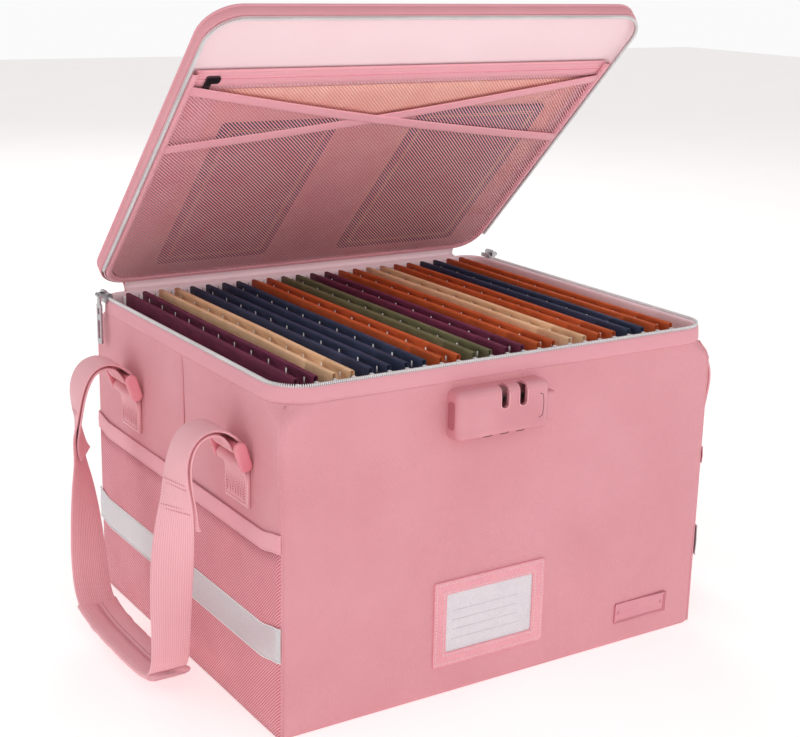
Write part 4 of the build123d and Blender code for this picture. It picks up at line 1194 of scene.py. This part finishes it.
# ---------------------------------------------------------------- hanging files
def make_files():
    """Twelve hanging files: two leaves each, hooked over their rods, and the fold between."""
    colours = ("burgundy", "beige", "navy", "navy", "orange", "olive",
               "burgundy", "orange", "beige", "orange", "navy", "orange")
    first_x, pitch = -171 * MM, 14.4 * MM
    top, foot, half = 253 * MM, 16 * MM, 143 * MM
    slots = 11
    slot_gap = 2 * half / slots
    ys = [-half, half]
    for k in range(slots):
        middle = -half + slot_gap * (k + 0.5)
        ys += [middle - 1.1 * MM, middle + 1.1 * MM, middle + slot_gap / 2]
    ys = sorted(set(round(y, 6) for y in ys))
    heights = (foot, 60 * MM, 120 * MM, 180 * MM, 215 * MM, 232 * MM, top - 8 * MM, top - 3.4 * MM,
               top - 1.0 * MM, top - 0.3 * MM)
    slot_row = 6                       # the slots start at heights[6] and end at heights[7]

    def slotted(row, column):
        """Whether a face lies in one of the narrow slots for index tabs."""
        middle = (ys[column] + ys[column + 1]) / 2
        near = abs((middle + half) / slot_gap % 1 - 0.5) * slot_gap
        return row == slot_row and near < 0.7 * MM

    leaves = {colour: [] for colour in colours}
    strips = []
    for index, colour in enumerate(colours):
        for leaf in (0, 1):
            x = first_x + (2 * index + leaf) * pitch
            seed = 3.1 * index + leaf
            rows = []
            for z in heights:
                bow = ease((z - foot) / (top - foot))
                rows.append([Vector((x + bow * wobble((0, y, z * 0.3), 120 * MM, 1.2 * MM, seed),
                                     y, z)) for y in ys])
            crown = rows[-1]
            for out, drop in ((0.5, 0.0), (2.6, 0.0), (3.1, 0.5), (3.3, 3), (3.2, 12)):
                rows.append([Vector((p.x + out * MM, p.y, top - drop * MM)) for p in crown])
            leaves[colour].append(loft("leaf", rows, around=False, skip=slotted if leaf else None))
            if leaf:
                strip = [[Vector((p.x + 0.02 * MM, p.y, z)) for p in rows[slot_row + 1]]
                         for z in (top - 9.5 * MM, top - 2.2 * MM)]
                strips.append(loft("strip", strip, around=False))
        fold = [[Vector((first_x + 2 * index * pitch + pitch * (0.5 - 0.5 * cos(a)), y,
                         foot - 5 * MM * sin(a))) for y in (-half, 0, half)]
                for a in (0, pi / 4, pi / 2, 3 * pi / 4, pi)]
        leaves[colour].append(loft("fold", fold, around=False))
    for colour, parts in leaves.items():
        piece(f"{colour}_files", join("files", parts), f"card_{colour}", "hanging_files",
              thick=0.5 * MM, replaces=[f"files_{colour}"])
    piece("file_tab_strips", join("strips", strips), "paper", "hanging_files", thick=0.15 * MM)
    make_rod_tips(first_x, pitch, len(colours))


def make_rod_tips(first_x, pitch, count):
    """White plastic sleeves on the ends of the rods."""
    parts = []
    for index in range(2 * count):
        for end in (-1, 1):
            sleeve = slab(2.6 * MM, 9.4 * MM, 6.5 * MM, 0.9 * MM)
            place = Matrix.Translation((first_x + index * pitch + 1.5 * MM,
                                        end * 146.2 * MM + 3.25 * MM, 245 * MM)) @ front_place
            parts.append((sleeve, place))
    piece("rod_tips", join("tips", parts), "rail_plastic", "hanging_files", bevel=0.5 * MM)


# ---------------------------------------------------------------- the lid
def lid_ring(inset, z):
    """Points round the lid's outline, on its own plane; inset and z are in millimetres."""
    return [p + lid_middle for p in outline(inset * MM, rim_r, z * MM)]


def lid_skin(name, profile, flat_from, size, amount, seed):
    """A skin closed over the lid's outline, uneven from the inset where it lies flat."""
    rows = [lid_ring(inset, z) for inset, z in profile]
    for (inset, _), row in zip(profile, rows):
        if inset >= flat_from:
            for p in row:
                p.z += wobble(p, size, amount, seed)
    return loft(name, rows, high_cap=True)


def make_lid_shell():
    """The padded top, its rolled edge and the band down to the zipper."""
    profile = [(1.3, 4.8), (0.9, 3.9), (0.3, 3.7), (-0.2, 4.4), (-0.5, 6.5), (-0.6, 9),
               (-0.2, 11.2), (0.9, 12.7), (2.6, 13.2), (5, 13.0), (7, 13.2), (12, 14.0),
               (22, 14.9), (40, 15.7), (70, 16.3), (110, 16.6), (150, 16.7)]
    on_lid("lid_shell", lid_skin("lid", profile, 12, 70 * MM, 0.8 * MM, 5), "shell_fabric",
           replaces=["lid_cover", "lid_band"])
    on_lid("lid_welt", tube("welt", lid_ring(0.7, 12.6), 1.5 * MM, closed=True), "band_fabric")
    seam = stitches(lid_ring(6, 13.35), Vector((0, 0, 1)), 3.4, 2.4, 0.5, True)
    on_lid("lid_top_stitches", seam, "shell_fabric", finish=seam_thread)


def make_lid_lining():
    """The pale panel inside the lid, softly puffed, and its skirt beside the zipper."""
    profile = [(2.0, 2.9), (2.6, 2.7), (3.2, 3.2), (3.4, 5.2), (4.6, 6.6), (8, 6.9), (16, 6.75),
               (40, 6.7), (80, 6.8), (120, 6.9), (150, 6.9)]
    on_lid("lid_panel", lid_skin("panel", profile, 8, 45 * MM, 0.3 * MM, 6), "lining",
           replaces=["lid_lining"])


def lid_net(left, right, z):
    """A sheet on the lid from the hinge side to a line sloping from left to right."""
    columns, rows = 40, 14
    grid = []
    for row in range(rows + 1):
        line = []
        for column in range(columns + 1):
            x = -net_reach + 2 * net_reach * column / columns
            near = 9 * MM + corner_cut(x)
            far = left + (right - left) * column / columns
            y = near + (far - near) * (row / rows)
            slack = wobble((x, y, 0), 60 * MM, 0.35 * MM, 3)
            line.append(Vector((x, -y, z - ease((net_reach - abs(x)) / (25 * MM)) * slack)))
        grid.append(line)
    mesh = loft("net", grid, around=False)
    for loop in mesh.loops:
        spot = mesh.vertices[loop.vertex_index].co
        mesh.uv_layers["metres"].data[loop.index].uv = (spot.x, -spot.y)
    return mesh


def corner_cut(x):
    """How far the rounded corner near the hinge pushes a sheet's edge forward."""
    past = abs(x) - (half_l - rim_r)
    turn = rim_r - 8 * MM
    return 0.0 if past <= 0 else turn - sqrt(max(turn * turn - past * past, 0.0))


def inner_seam(path):
    """Fine stitches on the side of a lid piece that faces the box."""
    return stitches(path, Vector((0, 0, -1)), 2.6, 1.8, 0.4)


def make_lid_pockets():
    """Two sloping nets and a zipped one behind them, bound round their edges."""
    zip_low, zip_high = 250 * MM, 263 * MM
    back = on_lid("lid_back_net", lid_net(zip_low, zip_low, 5.0 * MM), "mesh", finish=net_sheer,
                  replaces=["lid_pocket_mesh"])
    for name, left, right, z, nets, bindings in (
        ("first", 244 * MM, 167 * MM, 1.5 * MM, ["lid_cross_pockets"], ["lid_bindings"]),
        ("second", 177 * MM, 243 * MM, 2.2 * MM, [], []),
    ):
        net = on_lid(f"lid_{name}_cross_net", lid_net(left, right, z), "mesh", finish=net_open,
                     replaces=nets)
        sag = 5 * MM
        band = []
        for share in (0, 0.12, 0.5, 0.88, 1):
            line = []
            for k in range(41):
                x = (-1 + 2 * k / 40) * (half_l - 7 * MM)
                y = left + (right - left) * k / 40 - sag * sin(pi * k / 40)
                line.append(Vector((x, -y - 9 * MM * (share - 0.1), z - 0.5 * MM
                                    - 0.4 * MM * sin(pi * share))))
            band.append(line)
        on_lid(f"lid_{name}_mouth", loft("mouth", band, around=False), "binding", thick=0.7 * MM,
               replaces=bindings)
        rows = [inner_seam([p + Vector((0, 0, -0.5 * MM)) for p in line])
                for line in (band[1], band[3])]
        on_lid(f"lid_{name}_mouth_stitches", join("rows", rows), "binding", finish=seam_thread)
    make_pocket_zip(zip_low, zip_high)
    make_lid_binding(zip_high)


def make_pocket_zip(low, high):
    """The zipper strip across the lid: two tapes and a fine chain."""
    reach = net_reach
    strip = []
    for share, z in ((0, 4.9), (0.04, 4.2), (0.35, 4.1), (0.46, 4.5), (0.54, 4.5), (0.65, 4.1),
                     (0.96, 4.2), (1, 4.9)):
        y = low - 2 * MM + (high - low + 4 * MM) * share
        strip.append([Vector((-reach + 2 * reach * k / 40, -y, z * MM)) for k in range(41)])
    on_lid("lid_pocket_tape", loft("tape", strip, around=False), "binding", thick=0.5 * MM,
           replaces=["lid_pocket_zipper"])
    middle = (low + high) / 2
    coil = []
    for side in (-1, 1):
        path = [Vector((-reach + 2 * reach * k / 200, -middle + side * 1.1 * MM,
                        (4.0 + 0.25 * (k % 2)) * MM)) for k in range(201)]
        coil.append(tube("coil", path, 0.75 * MM, 6))
    on_lid("lid_pocket_coil", join("coil", coil), "binding")
    rows = [inner_seam([Vector((x, -y, 3.75 * MM)) for x in (-reach, 0, reach)])
            for y in (low, high)]
    on_lid("lid_pocket_tape_stitches", join("rows", rows), "binding", finish=seam_thread)


def make_lid_binding(zip_high):
    """The folded tape that closes the pockets along both ends and the hinge side."""
    rows = []
    for inset, z in ((3.9, 3.6), (4.3, 1.6), (5.6, 0.95), (7.4, 1.1), (8.8, 1.9), (9.0, 4.0)):
        rows.append(opened([p for p in lid_ring(inset, z) if p.y > -zip_high - 2 * MM]))
    count = min(len(row) for row in rows)
    rows = [row[:count] for row in rows]
    on_lid("lid_pocket_binding", loft("binding", rows, around=False), "binding", thick=0.4 * MM)
    seam = inner_seam([p - Vector((0, 0, 0.25 * MM)) for p in rows[3]])
    on_lid("lid_pocket_binding_stitches", seam, "binding", finish=seam_thread)


def make_documents():
    """Two plain booklets behind the front nets, and an envelope behind the back one."""
    covers, pages, marks = [], [], []
    for x, reach, wide, tall in ((-93, 116, 100, 180), (90, 118, 122, 190)):

        def card(trim_x, trim_y, depth, radius, shift_x, lift, hole=None):
            """A card this much smaller than the booklet, all in millimetres."""
            mesh = slab((wide - trim_x) * MM, (tall - trim_y) * MM, depth * MM, radius * MM, hole)
            middle = Matrix.Translation((x * MM, -reach * MM, 2.6 * MM))
            return mesh, middle @ Matrix.Translation((shift_x * MM, 0, lift * MM))

        covers += [card(0, 0, 0.5, 4, 0, 0), card(0, 0, 0.5, 4, 0, 1.7)]
        pages.append(card(3, 4, 1.2, 3, 1, 0.5))
        for inset in (7, 9):
            hole = ((wide - 2 * inset - 1.2) * MM, (tall - 2 * inset - 1.2) * MM)
            marks.append(card(2 * inset, 2 * inset, 0.15, 2, 0, -0.12, hole))
    on_lid("booklet_covers", join("covers", covers), "documents", bevel=0.2 * MM,
           replaces=["lid_documents"])
    on_lid("booklet_pages", join("pages", pages), "documents", finish=page_paper)
    on_lid("booklet_borders", join("marks", marks), "documents", finish=gilt)
    low_y, high_y, half_w = 53 * MM, 243 * MM, 165 * MM
    x = 10 * MM
    body = [[Vector((x - half_w + 2 * half_w * k / 30, -(low_y + (high_y - low_y) * r / 10),
                     5.9 * MM + wobble((k * 0.01, r * 0.02, 0), 60 * MM, 0.3 * MM)))
             for k in range(31)] for r in range(11)]
    flap = [[Vector((x + (-1 + 2 * k / 30) * half_w * (1 - 0.35 * r / 6),
                     -(high_y - 52 * MM * r / 6), 5.5 * MM)) for k in range(31)]
            for r in range(7)]
    parts = [loft("envelope", body, around=False), loft("flap", flap, around=False)]
    on_lid("envelope", join("envelope", parts), "documents", finish=envelope_paper,
           thick=0.3 * MM)


# ---------------------------------------------------------------- hinge cloth
def make_hinge():
    """Cloth bent along the hinge at the lid's resting angle: one strip outside, one inside."""
    half = half_l - rim_r + 1 * MM
    for name, slot, hidden, on_wall, above in (
        ("hinge_cloth", "band_fabric", ["hinge_strip"],
         ((0.6, 238.5), (1.1, 244), (1.3, 250), (1.5, 252.5)),
         ((0.6, 1.2), (0.4, 3.5), (0.5, 7), (0.4, 10.5))),
        ("hinge_lining", "lining", [],
         ((-5.6, 247), (-4.6, 251.4), (-2.2, 252.4), (-0.3, 253.0)),
         ((-1.6, 0.5), (-3.2, 1.2), (-5.0, 2.0), (-6.2, 3.4))),
    ):
        profile = [Vector((0, half_d + y * MM, z * MM)) for y, z in on_wall]
        profile += [lid_frame @ Vector((0, y * MM, z * MM)) for y, z in above]
        rows = [[Vector((half * (-1 + k / 20), p.y, p.z)) for k in range(41)]
                for p in curve_through(profile, 4)]
        strip = piece(name, loft(name, rows, around=False), slot, None, replaces=hidden,
                      thick=0.6 * MM)
        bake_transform(strip)


make_shell()
make_boards()
make_fold_lines()
make_corner_seams()
make_rim_band()
make_zippers()
make_lining()
make_side_pockets()
make_rings()
make_tabs()
make_handle()
make_label()
make_lock_trim()
make_plate_rivets()
make_files()
make_lid_shell()
make_lid_lining()
make_lid_pockets()
make_documents()
make_hinge()
